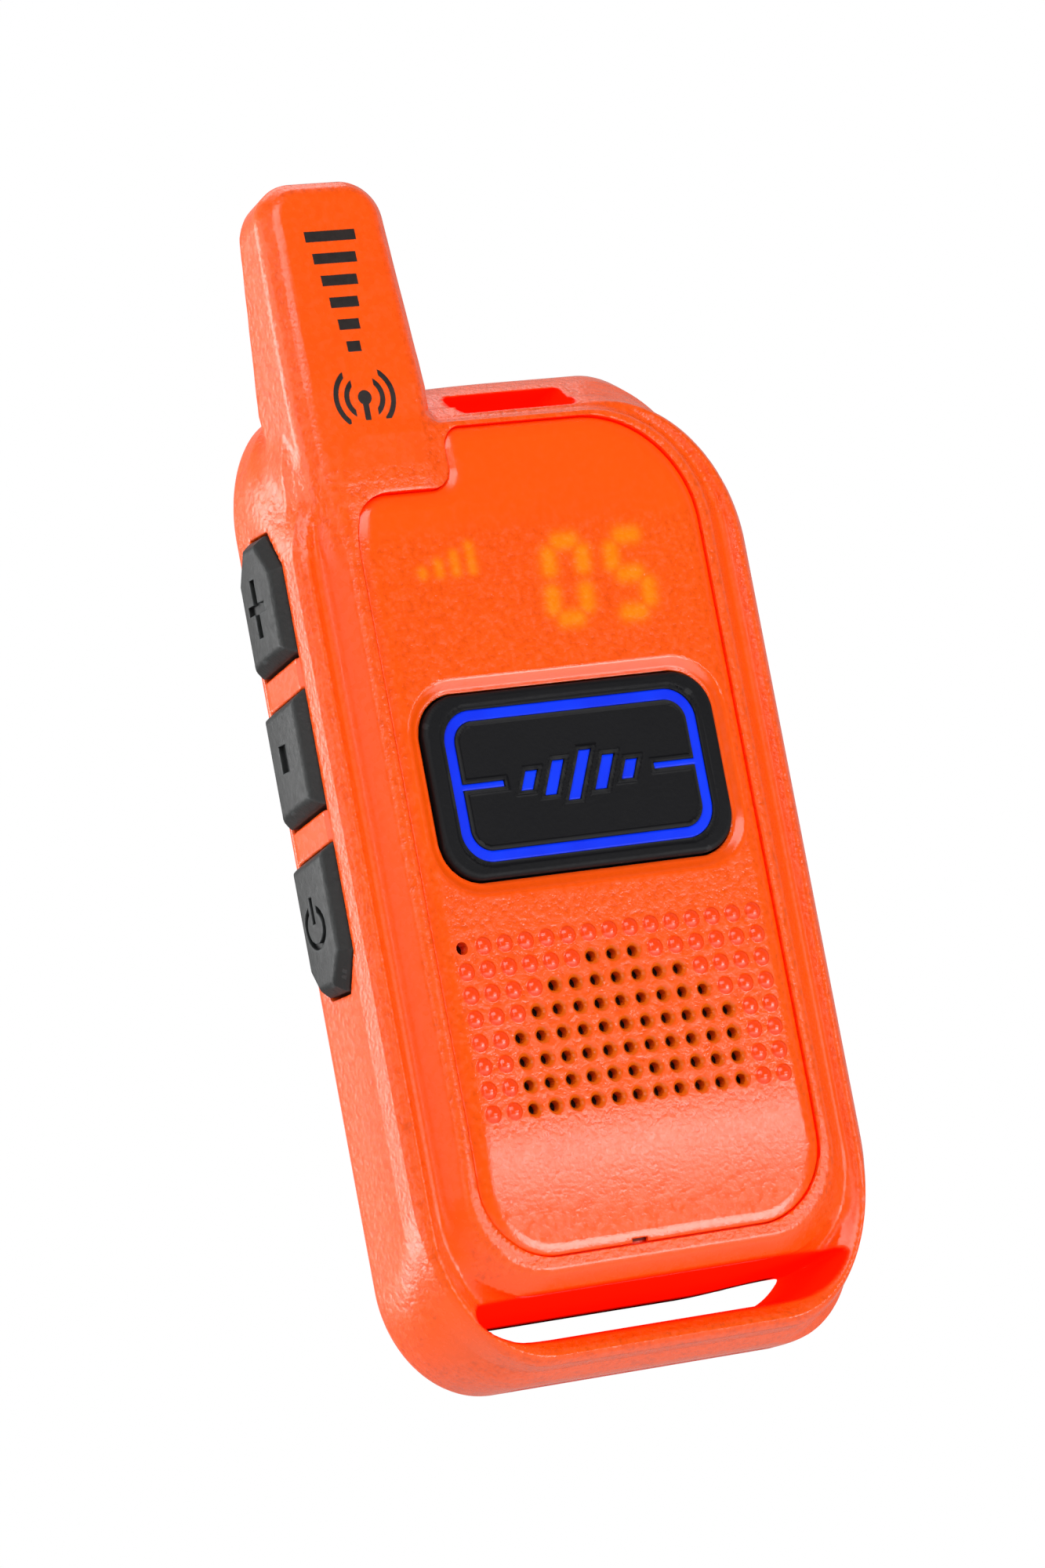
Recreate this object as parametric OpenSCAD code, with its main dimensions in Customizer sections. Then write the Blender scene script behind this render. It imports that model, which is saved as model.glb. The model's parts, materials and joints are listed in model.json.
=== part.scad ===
// Pocket walkie-talkie: one moulded housing with a stub aerial, a snapped-in
// front plate, a screwed rear cover with a sprung belt clip, rubber keys and
// the electronics that sit between them.
// X is right, Y runs from the front face to the back, Z is up.
// The origin is the middle of the bottom face, at mid depth. Heights inside the
// modules count from the lowest line of the crease; placed() adds the drop of
// the bottom face below it. "ptt" stands for push to talk.

/* [Body] */
// Width of the body across the side walls
body_w = 52; // [51:0.5:53]
// Height of the top of the body above the lowest line of the crease
body_h = 102; // [101.5:0.25:102.5]
// Drop of the bottom face below the lowest line of the crease
drop = 1.1; // [0.9:0.1:1.3]
// Depth from the middle plane to the flat of the front plate
front_d = 8.5; // [8.5:0.1:9]
// Depth from the middle plane to the back face
back_d = 8; // [7.9:0.1:8.2]
// Thickness of the side walls
wall = 2; // [1.8:0.1:2.2]
// Height of the strap opening at the bottom
loop_h = 3.6; // [3.2:0.1:3.9]
// Length of the lanyard slot in the shoulder
slot_l = 13.5; // [10:0.5:14]
// Height of the lanyard slot
slot_h = 3; // [2.6:0.1:3.1]

/* [Aerial] */
// Height of the top of the aerial above the lowest line of the crease
aerial_top = 122.9; // [122:0.1:126]
// Distance of the aerial's axis from the middle of the body
aerial_x = 16.1; // [15.9:0.1:16.3]
// Turns of the aerial coil
coil_turns = 11; // [6:1:12]

/* [Front plate] */
// Half width of the front plate
plate_half_w = 19.6; // [19.4:0.1:19.7]
// Thickness of the front plate
plate_t = 1.6; // [1.4:0.1:1.6]
// Gap all round the front plate
plate_gap = 0.25; // [0.15:0.05:0.35]
// Distance between neighbouring dots of the grille
pitch = 2.4; // [2.3:0.05:2.45]
// Diameter of a sound hole
hole_d = 1.05; // [0.8:0.05:1.2]
// Diameter of a raised dot
dot_d = 1.7; // [1.4:0.1:1.8]

/* [Keys] */
// How far the side keys stand out of the wall
key_proud = 1.3; // [1:0.1:1.5]
// Clearance round a key
key_gap = 0.14; // [0.1:0.02:0.2]

/* [Belt clip] */
// Diameter of the clip's pin
pin_d = 2; // [1.8:0.1:2.2]
// Half width of the clip
clip_half_w = 7.85; // [7:0.05:7.85]
// Height of the clip's pin above the lowest line of the crease
clip_z = 82; // [78:0.5:82]

/* [Hidden] */
$fn = 48;
eps = 0.01;

// Body
half_w = body_w / 2;
inner_half_w = half_w - wall;   // half width of the cavity
front_y = -front_d;             // flat of the front plate
back_y = back_d;                // back face
crease_y = front_y + 5.6;       // crease round the side wall
rim_y = front_y + 2.9;          // floor of the valley between rim and island
cavity_bottom = 9.3;
cavity_top = 95.3;
cover_y = 6.5;                  // front of the rear cover's panel
loop_bottom = 3;
loop_top = loop_bottom + loop_h;
slot_x = 3.2;
slot_z = 98.8;
slot_step = 1.6;                // drop of the slot's rear part

// Front plate
plate_back_y = front_y + plate_t;
ledge_y = plate_back_y + 0.3;   // ledge the plate seal lies on
plate_bottom = 11;
plate_top = 95.2;
step_x = -7.9;                  // upright edge of the step round the aerial's foot
step_z = 88.9;                  // level edge of that step

// Grille and microphone
last_row = 7;
last_col = 7;
grille_z = 42.4;                // height of the top row
// Columns with sound holes each side of the middle, row by row from the top;
// -1 is a row without holes
hole_span = [-1, 1, 3, 4, 5, 5, 5, 5];
mic_x = -last_col * pitch;

// Talk pad
ptt_z = 58.4;
ptt_half_w = 16.7;
ptt_half_h = 9.45;
ptt_led_x = 13.9;
ptt_led_places = [for (sx = [-1, 1]) for (sz = [-1, 1]) [sx * ptt_led_x, ptt_z + sz * 3.5]];

// Main board, with the faces its parts are mounted on
board_front_y = -1.19;
board_back_y = -0.19;
lamp_t = 0.8;                   // height of a lamp on the board
// x and z of each board screw
board_screw_places = [[-19.7, 24], [19.7, 24], [19.7, 78]];

// Case screws
low_screw_x = half_w - 8.5;
low_screw_z = 15.5;
top_screw_x = 11;
top_screw_z = 90.2;
seat_y = 6.7;                   // face the screw heads lie on
// x, z, front of the pillar, front of its hole, length of the shank
case_screw_places = [for (side = [-1, 1]) each [
    [side * low_screw_x, low_screw_z, 0.4, 0.9, 5],
    [side * top_screw_x, top_screw_z, 2.2, 2.6, 3.6]]];

// Aerial
aerial_y = -3.8;
bore_r = 2.9;
bore_z = 86;

// Side keys from the top one down: ends at the front edge, middle of the
// switch, and top of the flange, kept below the round corner of the cavity
key_bottom = [74.6, 59, 40.3];
key_top = [87.7, 71.4, 55.7];
key_mid = [80, 64.4, 48];
key_flange_top = [79.4, 120, 120];
key_slant = 1.1;                // drop of a slanted end from front to back
key_y = 1.5;                    // depth of switches and marks
mark_depth = 0.35;

// Socket and its cover
port_y = 1.5;
port_z = 66;
flap_z = 55.85;                 // height of the port cover's hinge bead

// Belt clip
clip_y = back_y + 3;
lug_w = 2.2;
lug_x = 8;                      // inner face of a lug

// Every separate piece, one name each

// ---------- helpers ----------

// Extrude a shape drawn in the XZ plane from depth y0 to y1
module slab(y0, y1) translate([0, y1, 0]) rotate([90, 0, 0])
    linear_extrude(y1 - y0) children();

// Very thin slab, one section of a hull
module section(y) slab(y, y + eps) children();

// Extrude a shape drawn in the YZ plane from x0 to x1
module side_slab(x0, x1) translate([x0, 0, 0]) rotate([90, 0, 90])
    linear_extrude(x1 - x0) children();

// Turn a solid of revolution so that its axis points to the back
module turned_y(x, y, z) translate([x, y, z]) rotate([-90, 0, 0]) children();

// Turn a solid of revolution so that its axis points along +X
module turned_x(x, y, z) translate([x, y, z]) rotate([0, 90, 0]) children();

// Points of an elliptic arc in steps equal parts
function arc(cx, cz, rx, rz, a0, a1, steps) = [for (i = [0:steps])
    let (a = a0 + (a1 - a0) * i / steps) [cx + rx * cos(a), cz + rz * sin(a)]];

// Body outline with elliptic corners: half width, bottom, top, radii in x and z
// of the top and of the bottom corners. left_rx and left_rz give the upper left
// corner radii of its own
function outline(w, bottom, top, top_rx, top_rz, low_rx, low_rz, left_rx = 0, left_rz = 0) =
    let (lx = left_rx > 0 ? left_rx : top_rx, lz = left_rz > 0 ? left_rz : top_rz) concat(
    arc(w - low_rx, bottom + low_rz, low_rx, low_rz, -90, 0, 10),
    arc(w - top_rx, top - top_rz, top_rx, top_rz, 0, 90, 10),
    arc(-w + lx, top - lz, lx, lz, 90, 180, 10),
    arc(-w + low_rx, bottom + low_rz, low_rx, low_rz, 180, 270, 10));

// Front plate outline, inset from the nominal edge; the upper left steps
// round the foot of the aerial
function plate_pts(inset) = concat(
    arc(-plate_half_w + 8, plate_bottom + 8, 8 - inset, 8 - inset, 180, 270, 8),
    arc(plate_half_w - 8, plate_bottom + 8, 8 - inset, 8 - inset, 270, 360, 8),
    arc(plate_half_w - 11.8, plate_top - 12, 11.8 - inset, 12 - inset, 0, 90, 12),
    arc(step_x + 2.2, plate_top - 2.2, 2.2 - inset, 2.2 - inset, 90, 180, 8),
    arc(step_x - 2.3, step_z + 2.3, 2.3 + inset, 2.3 + inset, 0, -90, 8),
    arc(-plate_half_w + 2, step_z - 2, 2 - inset, 2 - inset, 90, 180, 8));

// Rectangle with round corners, given by its centre, half sizes and radius
function round_rect(cx, cz, a, b, r) = concat(
    arc(cx + a - r, cz + b - r, r, r, 0, 90, 8),
    arc(cx - a + r, cz + b - r, r, r, 90, 180, 8),
    arc(cx - a + r, cz - b + r, r, r, 180, 270, 8),
    arc(cx + a - r, cz - b + r, r, r, 270, 360, 8));

// Talk pad outline, grown by a margin on all sides
function ptt_rect(margin, r) = round_rect(0, ptt_z, ptt_half_w + margin, ptt_half_h + margin, r);

// Round wire through a list of points
module wire(points, r) union() {
    for (i = [0:len(points) - 2])
        let (run = points[i + 1] - points[i], length = norm(run))
            translate(points[i]) rotate([0, acos(run[2] / length), atan2(run[1], run[0])])
                cylinder(r = r, h = length, $fn = 32);
    for (p = points) translate(p) sphere(r = 1.06 * r, $fn = 32);
}

// Screw pointing to the front, the underside of its hexagon-socket head at y
module screw(x, y, z, r, length, head_r, head_h) union() {
    turned_y(x, y - length, z) cylinder(r = r, h = length + eps);
    difference() {
        turned_y(x, y, z) cylinder(r = head_r, h = head_h);
        turned_y(x, y + head_h - 0.5, z) cylinder(r = head_r * 0.5, h = 1, $fn = 6);
    }
}

// ---------- outer shapes ----------

// Outside of the body: bevelled rim in front, sloped shoulder on top,
// sloped underside, rounded edge behind
module body_hull() hull() {
    section(front_y + 2)
        polygon(outline(half_w - 1.1, 1.1, 95.9, 13.2, 15.6, 11.6, 15));
    section(rim_y)
        polygon(outline(half_w - 0.1, 0.35, 97, 14, 16.9, 12.6, 16.6, 11, 14));
    section(crease_y)
        polygon(outline(half_w, 0, 98.4, 14.2, 17.4, 12.6, 16.2, 10.3, 13.4));
    section(-0.1)
        polygon(outline(half_w, -drop, body_h - 1.95, 13.7, 17.5, 11.8, 14, 9.2, 11.8));
    section(3.5)
        polygon(outline(half_w, -drop, body_h, 13.1, 17.5, 10.9, 12.6, 8.6, 11));
    section(back_y - 1.6)
        polygon(outline(half_w - 0.1, -drop, body_h - 0.1, 13.1, 17.5, 10.6, 12.2, 8.6, 11));
    section(back_y - eps)
        polygon(outline(half_w - 1.2, 1.1 - drop, body_h - 1.2, 12, 16.4, 9.6, 11.2, 7.6, 10));
}

// Raised island the plate is set into
module island() hull() {
    section(rim_y + 0.3)
        polygon(outline(half_w - 2.4, 7.3, 96.8, 13.6, 14.2, 10.4, 10.4, 5, 5));
    section(front_y + 0.5)
        polygon(outline(half_w - 5, 9.9, 95.9, 12.2, 12.6, 9, 9, 4, 4));
    section(front_y + 0.25)
        polygon(outline(half_w - 5.5, 10.3, 95.6, 12, 12.3, 8.7, 8.7, 4, 4));
}

// One level of the aerial: reach to the left and right of its axis, front and
// back depth, and the bevel of the corners
module aerial_level(z, left, right, y0, y1, bevel) {
    x0 = -aerial_x - left;
    x1 = -aerial_x + right;
    translate([0, 0, z]) linear_extrude(eps) polygon([
        [x0 + bevel, y0], [x1 - bevel, y0],
        [x1, y0 + bevel], [x1, y1 - bevel],
        [x1 - 0.8 * bevel, y1 - 0.25 * bevel], [x1 - 1.6 * bevel, y1],
        [x0 + 1.6 * bevel, y1], [x0 + 0.8 * bevel, y1 - 0.25 * bevel],
        [x0, y1 - bevel], [x0, y0 + bevel]]);
}

// Stub aerial, thinner to the top, its foot inside the island
module aerial_hull() hull() {
    aerial_level(84, 5, 7, front_y + 0.3, -4.2, 0.8);
    aerial_level(100, 7.9, 7.8, front_y + 0.1, 1.6, 1.7);
    aerial_level(aerial_top - 5.4, 7.1, 7.15, front_y + 1.1, -0.1, 1.7);
    aerial_level(aerial_top - 1.6, 6.1, 6.2, front_y + 1.3, -0.9, 1.7);
    aerial_level(aerial_top - eps, 4, 4.2, front_y + 2.2, -3.2, 0.8);
}

// Side view of a side key between two heights, inset all round. Both ends
// slant down to the back; a tapered end has its corners cut instead
function key_pts(bottom, top, inset, taper_top, taper_bottom) =
    let (y0 = crease_y - 0.35 + inset,
        y1 = 5.75 - inset,
        cut_y = 2.6 - inset * 0.4,
        cut_z = 4 + inset * 0.4)
    concat(
        taper_bottom
            ? [[y0, bottom + cut_z], [y0 + cut_y, bottom + inset],
                [y1 - cut_y, bottom + inset], [y1, bottom + cut_z]]
            : [[y0, bottom + inset], [y1, bottom - key_slant + inset]],
        taper_top
            ? [[y1, top - cut_z], [y1 - cut_y, top - inset],
                [y0 + cut_y, top - inset], [y0, top - cut_z]]
            : [[y1, top - key_slant - inset], [y0, top - inset]]);

// ---------- housing ----------

// Cavity, open to the back, with the ledge and recess of the rear cover
module cavity() {
    slab(-4, 5) polygon(outline(inner_half_w, cavity_bottom, cavity_top, 13, 17, 9, 9));
    slab(4.9, cover_y) polygon(outline(half_w - 4.1, 11, 94, 11, 15, 8, 8));
    slab(cover_y, back_y + 1) polygon(outline(half_w - 2.55, 10.25, 95, 12.4, 16.4, 9, 9));
}

// Body, island and aerial, hollowed and opened for the plate and side keys
module shell() difference() {
    union() {
        difference() {
            body_hull();
            // valley between the rim and the island
            slab(front_y - 1, rim_y + 0.3)
                polygon(outline(half_w - 1.9, 2.6, 96.8, 13.2, 15.6, 11.2, 13));
        }
        island();
        aerial_hull();
    }
    cavity();
    // recess and opening for the front plate
    slab(front_y - 1, ledge_y) polygon(plate_pts(-plate_gap));
    slab(ledge_y - eps, -3.9) polygon(plate_pts(1.5));
    // opening for the side keys
    side_slab(-half_w - 2, -half_w + 3.4)
        polygon(key_pts(key_bottom[2], key_top[0], 0, true, true));
}

// Ribs between the side keys
module key_ribs() for (i = [0, 1]) side_slab(-half_w, -inner_half_w) polygon([
    [crease_y - 0.6, key_top[i + 1]],
    [crease_y - 0.6, key_bottom[i]],
    [5.85, key_bottom[i] - key_slant],
    [5.85, key_top[i + 1] - key_slant]]);

// Pillars for the case screws, each on a web to the wall
module screw_pillars() {
    for (p = case_screw_places)
        turned_y(p[0], p[2], p[1]) cylinder(r = 2, h = 5.4 - p[2]);
    for (side = [-1, 1]) {
        translate([side > 0 ? low_screw_x : -inner_half_w - 0.5, 0.4, low_screw_z - 1])
            cube([7, 4.6, 2]);
        translate([side * top_screw_x - 1, 2.2, 91.5]) cube([2, 2.8, 4.5]);
    }
}

module strap_opening() slab(-20, 20) intersection() {
    polygon(outline(half_w - 3.7, loop_bottom, 90, 12, 12, 8, 8));
    polygon(round_rect(0, loop_top - 6, half_w - 5.2, 6, 1.6));
}

// Outline of the lanyard slot, centred at height z
module slot_plan(z) hull() for (side = [-1, 1])
    translate([slot_x + side * (slot_l - slot_h) / 2, z]) circle(d = slot_h);

// Slot through the shoulder, stepped down to the back
module lanyard_slot() {
    slab(-20, 2) slot_plan(slot_z);
    slab(1.9, 20) slot_plan(slot_z - slot_step);
}

module cover_seal_groove() slab(5.9, 6.51) difference() {
    polygon(outline(half_w - 3.05, 10.65, 94.5, 12, 16, 8.6, 8.6));
    polygon(outline(half_w - 3.75, 11.3, 93.8, 11.3, 15.3, 8, 8));
}

// Socket opening and the recess of its cover
module port_opening() {
    side_slab(inner_half_w - 1, half_w + 1) polygon(round_rect(port_y, port_z, 1.9, 4.9, 1.6));
    side_slab(half_w - 1.3, half_w + 1) polygon(round_rect(port_y, 64.5, 3.4, 9.4, 2));
}

module housing() color("orangered") difference() {
    union() {
        shell();
        key_ribs();
        screw_pillars();
        // bosses for the board screws
        for (p = board_screw_places)
            turned_y(p[0], -4.5, p[1]) cylinder(r = 1.45, h = 3.3);
    }
    strap_opening();
    lanyard_slot();
    // bore for the aerial coil
    translate([-aerial_x, aerial_y, bore_z])
        cylinder(r = bore_r, h = aerial_top - 3.4 - bore_z);
    cover_seal_groove();
    // screw holes
    for (p = case_screw_places) turned_y(p[0], p[3], p[1]) cylinder(r = 0.85, h = 6);
    for (p = board_screw_places) turned_y(p[0], -4.2, p[1]) cylinder(r = 0.65, h = 6);
    // room for the microphone boot
    turned_y(mic_x, ledge_y - 0.5, grille_z) cylinder(r = 2.35, h = 3.4);
    port_opening();
}

// ---------- front plate and its seal ----------

// Raised dots beside and above the sound holes; the microphone hole takes the
// place of the first one
module grille_dots()
    for (row = [0:last_row]) for (col = [-last_col:last_col])
        if (abs(col) > hole_span[row] && !(row == 0 && col == -last_col))
            intersection() {
                translate([col * pitch, front_y + 0.7, grille_z - row * pitch])
                    sphere(r = 1.08, $fn = 24);
                turned_y(col * pitch, front_y - 1, grille_z - row * pitch)
                    cylinder(d = dot_d, h = 1.5, $fn = 24);
            }

// Sound holes, countersunk in front
module sound_holes()
    for (row = [1:last_row]) for (col = [-hole_span[row]:hole_span[row]]) {
        turned_y(col * pitch, front_y - 1, grille_z - row * pitch)
            cylinder(d = hole_d, h = plate_t + 2, $fn = 24);
        turned_y(col * pitch, front_y - eps, grille_z - row * pitch)
            cylinder(d1 = 1.6, d2 = hole_d, h = 0.5, $fn = 24);
    }

module front_plate() color("orangered") difference() {
    union() {
        slab(front_y + 0.6, plate_back_y) polygon(plate_pts(0));
        slab(front_y, front_y + 0.61) polygon(plate_pts(0.7));
        grille_dots();
    }
    // basin round the talk pad and the opening for it
    slab(front_y - 1, front_y + 0.5) polygon(ptt_rect(1.3, 5.4));
    slab(front_y - 1, plate_back_y + 1) polygon(ptt_rect(0.2, 4.4));
    sound_holes();
    // microphone hole
    turned_y(mic_x, front_y - 1, grille_z) cylinder(d = 1.3, h = plate_t + 2, $fn = 24);
    // notch for lifting the plate off
    translate([-3.4, front_y + 0.8, plate_bottom - 0.5]) cube([1.8, 2, 0.9]);
}

module plate_seal() color("dimgray") slab(plate_back_y + 0.02, ledge_y - 0.02) difference() {
    polygon(plate_pts(0.15));
    polygon(plate_pts(1.35));
    translate([mic_x, grille_z]) circle(r = 2.5);
}

// ---------- rear cover ----------

// Lugs that hold the clip's pin
module clip_lugs() for (side = [-1, 1]) let (x = side > 0 ? lug_x : -lug_x - lug_w) {
    turned_x(x, clip_y, clip_z) cylinder(r = 2.2, h = lug_w);
    translate([x, back_y - 0.5, clip_z - 2.2]) cube([lug_w, 3.5, 4.4]);
}

module rear_cover() color("orangered") difference() {
    union() {
        slab(cover_y, back_y)
            polygon(outline(half_w - 2.75, 10.45, 94.8, 12.2, 16.2, 8.8, 8.8));
        // seats for the screws
        for (p = case_screw_places) turned_y(p[0], 5.45, p[1]) cylinder(r = 2.5, h = 1.2);
        clip_lugs();
        // grip ribs behind
        for (i = [0:3]) translate([-12, back_y - 0.1, 20 + 3 * i]) cube([24, 0.5, 1.2]);
    }
    // through holes and head recesses
    for (p = case_screw_places) {
        turned_y(p[0], 5, p[1]) cylinder(r = 1.05, h = 5);
        turned_y(p[0], seat_y, p[1]) cylinder(r = 1.95, h = 3);
    }
    turned_x(-12, clip_y, clip_z) cylinder(d = pin_d + 0.04, h = 24);
}

module cover_seal() color("dimgray") slab(5.95, 6.48) difference() {
    polygon(outline(half_w - 3.12, 10.72, 94.43, 11.93, 15.93, 8.53, 8.53));
    polygon(outline(half_w - 3.68, 11.23, 93.87, 11.37, 15.37, 8.07, 8.07));
}

module case_screws() color("silver") for (p = case_screw_places)
    screw(p[0], seat_y + 0.02, p[1], r = 0.83, length = p[4], head_r = 1.8, head_h = 1.1);

// ---------- boards ----------

module main_board() color("darkgreen") difference() {
    slab(board_front_y + 0.01, board_back_y - 0.01)
        polygon(outline(half_w - 4.6, 12, 91, 11, 13, 8, 8));
    // left side cut away beside the side board
    slab(-3, 3) translate([-30, 38]) square([30 - 18.8, 60]);
    for (p = board_screw_places) turned_y(p[0], -3, p[1]) cylinder(r = 0.9, h = 6);
}

module board_screws() color("silver") for (p = board_screw_places)
    screw(p[0], board_back_y, p[1], r = 0.63, length = 3.4, head_r = 1.25, head_h = 0.7);

// Can open to the board, with rows of small holes in its back
module rf_shield() color("silver") difference() {
    translate([-6, board_back_y, 71.5]) cube([22, 2.6, 13]);
    translate([-5.7, -0.3, 71.8]) cube([21.4, 2.41, 12.4]);
    for (i = [0:6]) for (j = [0:3])
        turned_y(-2.5 + 2.6 * i, 2, 73.6 + 2.9 * j) cylinder(r = 0.45, h = 1, $fn = 24);
}

// Chip centre x and z, width, height along z, thickness, and the face it is
// on: -1 in front, 1 behind
chips = [
    [8.4, 58.4, 7, 7, 0.9, -1],
    [-8.4, 54, 5, 4, 0.9, -1],
    [2, 78, 6, 6, 1, 1],
    [10.5, 78, 5, 4, 0.9, 1],
    [-12.5, 80, 3, 5, 1.6, 1]];

module board_chips() color("black") for (c = chips)
    translate([c[0] - c[2] / 2, c[5] < 0 ? board_front_y - c[4] : board_back_y, c[1] - c[3] / 2])
        cube([c[2], c[4], c[3]]);

module side_board() color("darkgreen") translate([-20.2, -3.4, 41.5]) cube([0.8, 8, 45.5]);

module side_switches() color("dimgray") for (z = key_mid) difference() {
    translate([-22.1, -1.1, z - 2.6]) cube([1.89, 5.2, 5.2]);
    turned_x(-22.2, key_y, z) cylinder(r = 0.95, h = 1.6);
}

module ptt_switch() color("dimgray") difference() {
    translate([-3.1, -3.4, ptt_z - 3.1]) cube([6.2, 2.21, 6.2]);
    turned_y(0, -3.5, ptt_z) cylinder(r = 1.66, h = 1.75);
}

module ptt_leds() color("aliceblue") for (p = ptt_led_places)
    translate([p[0] - 0.8, board_front_y - lamp_t, p[1] - 0.5]) cube([1.6, lamp_t, 1]);

module usb_socket() color("silver") difference() {
    side_slab(17.2, inner_half_w - 0.15) polygon(round_rect(port_y, port_z, 1.65, 4.5, 1.5));
    side_slab(18.5, inner_half_w + 1) polygon(round_rect(port_y, port_z, 1.3, 4.15, 1.2));
}

// ---------- display ----------

digit_x = [2.9, 10.2];
digit_z = 78.4;
// Segments of one digit: x and z of the middle, true for an upright bar
segments = [[0, 4, false], [1.85, 2, true], [1.85, -2, true], [0, -4, false],
    [-1.85, -2, true], [-1.85, 2, true], [0, 0, false]];
signal_x = -13.9;               // left edge of the first signal bar
signal_pitch = 1.9;

// Six-sided bar of the display, given by its half length and half thickness
module segment_bar(upright, l, t) rotate(upright ? 90 : 0)
    polygon([[-l, 0], [-l + t, t], [l - t, t], [l, 0], [l - t, -t], [-l + t, -t]]);

// Both digits and the signal bars beside them
module display_plan(half_l, half_t, signal_w) {
    for (x = digit_x) for (s = segments)
        translate([x + s[0], digit_z + s[1]]) segment_bar(s[2], half_l, half_t);
    for (i = [0:3]) translate([signal_x + signal_pitch * i, 79.9])
        square([signal_w, 1.1 + 0.75 * i]);
}

module display_housing() color("white") difference() {
    translate([-15.5, -6.4, 71.6]) cube([29.5, 5.19, 13.8]);
    slab(-7, -3.9) display_plan(half_l = 1.72, half_t = 0.52, signal_w = 1.16);
    // hollow behind, over the lamps
    translate([-14.5, -4, 72.6]) cube([27.5, 4, 11.8]);
}

module display_segments() color("gold")
    slab(-6.35, -5.4) display_plan(half_l = 1.66, half_t = 0.47, signal_w = 1.1);

// Small lamp on the board behind each bar
module display_lamps() color("lemonchiffon") union() {
    for (x = digit_x) for (s = segments)
        translate([x + s[0] - 0.5, board_front_y - lamp_t, digit_z + s[1] - 0.4])
            cube([1, lamp_t, 0.8]);
    for (i = [0:3])
        translate([signal_x + 0.05 + signal_pitch * i, board_front_y - lamp_t, 80.4])
            cube([1, lamp_t, 0.8]);
}

// ---------- speaker ----------

speaker_y = -6.2;               // front of the frame
speaker_z = 31.5;
gasket_y = speaker_y - 0.66;

// Turn a profile round the speaker's axis: radius, depth behind y
module speaker_ring(profile, y = speaker_y)
    turned_y(0, y, speaker_z) rotate_extrude($fn = 64) polygon(profile);

module speaker_frame() color("gainsboro") speaker_ring([
    [11.9, 0], [13.3, 0], [13.3, 1], [12.3, 1.1], [9.2, 3.2], [9.2, 3.7],
    [7.3, 3.7], [7.3, 3], [8.5, 3], [11.8, 0.9]]);

// Magnet with the ring gap for the voice coil
module speaker_magnet() color("silver") speaker_ring([
    [0, 2.2], [3.55, 2.2], [3.55, 4.3], [4.45, 4.3], [4.45, 2.2], [7.25, 2.2],
    [7.25, 4.85], [0, 4.85]]);

module speaker_gasket() color("dimgray")
    speaker_ring([[12.3, 0], [13.3, 0], [13.3, 0.64], [12.3, 0.64]], gasket_y);

module speaker_cloth() color("black")
    turned_y(0, gasket_y, speaker_z) cylinder(r = 12.2, h = 0.16, $fn = 64);

module speaker_cone() color("dimgray") speaker_ring([
    [0, 0.75], [1.5, 0.82], [2.8, 1.05], [3.9, 1.45], [9.6, 0.5], [10, 0.2], [10.6, 0.05],
    [11.2, 0.2], [11.2, 0.45], [10.6, 0.3], [10.2, 0.42], [9.8, 0.75], [4.1, 1.69],
    [3.7, 1.69], [2.7, 1.3], [1.5, 1.07], [0, 1]]);

module voice_coil() color("peru")
    speaker_ring([[3.75, 1.7], [4.2, 1.7], [4.2, 3.7], [3.75, 3.7]]);

module speaker_leads() color("firebrick") for (side = [-1, 1])
    wire([[side * 8.8, -2.1, 35.6], [side * 10.5, -1.9, 41], [side * 10.5, -1.6, 46.5]], 0.28);

// ---------- microphone ----------

module microphone_boot() color("black")
    turned_y(mic_x, plate_back_y + 0.05, grille_z) difference() {
        cylinder(r = 2.25, h = 2.6);
        translate([0, 0, 0.6]) cylinder(r = 1.75, h = 3);
        translate([0, 0, -1]) cylinder(r = 0.6, h = 3);
    }

module microphone() color("silver")
    turned_y(mic_x, plate_back_y + 0.66, grille_z) cylinder(r = 1.73, h = 1.5);

// ---------- aerial ----------

coil_r = 2.2;
coil_bottom = 91;
coil_l = 26;
coil_wire_r = 0.34;
coil_sides = 6;                 // sides of the wire's section
coil_steps = coil_turns * 20;
coil_lead = atan(coil_l / (coil_turns * 360) * 180 / PI / coil_r);   // angle of the helix

// Ring of points round the wire's middle line at turn angle a
function coil_ring(a) = let (z = coil_bottom + coil_l * a / (360 * coil_turns))
    [for (j = [0:coil_sides - 1])
        let (b = 360 * j / coil_sides, out = coil_wire_r * cos(b), up = coil_wire_r * sin(b))
        [(coil_r + out) * cos(a) + up * sin(coil_lead) * sin(a),
         (coil_r + out) * sin(a) - up * sin(coil_lead) * cos(a),
         z + up * cos(coil_lead)]];

module aerial_coil() color("peru") translate([-aerial_x, aerial_y, 0]) {
    n = coil_sides;
    points = [for (i = [0:coil_steps]) each coil_ring(360 * coil_turns * i / coil_steps)];
    polyhedron(points, concat(
        [[for (j = [0:n - 1]) j]],
        [for (i = [0:coil_steps - 1]) for (j = [0:n - 1])
            [i * n + j, (i + 1) * n + j, (i + 1) * n + (j + 1) % n, i * n + (j + 1) % n]],
        [[for (j = [n - 1:-1:0]) coil_steps * n + j]]));
}

module aerial_former() color("whitesmoke") translate([-aerial_x, aerial_y, 89.9]) union() {
    cylinder(r = 1.7, h = 28.3);
    cylinder(r = 2.6, h = 0.6);
}

// Strip bent from the board's front face up to a stud under the former
module aerial_feed() color("gold") union() {
    x = -aerial_x - 1;
    y = aerial_y - 0.3;
    translate([x, board_front_y - 0.25, 83.5]) cube([1.5, 0.25, 3]);
    translate([x, y, 86.2]) cube([1.5, board_front_y - y, 0.3]);
    translate([x, y, 86.2]) cube([1.5, 0.3, 2.2]);
    translate([-aerial_x, aerial_y, 88.2]) cylinder(r = 1.2, h = 1.65);
}

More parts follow.
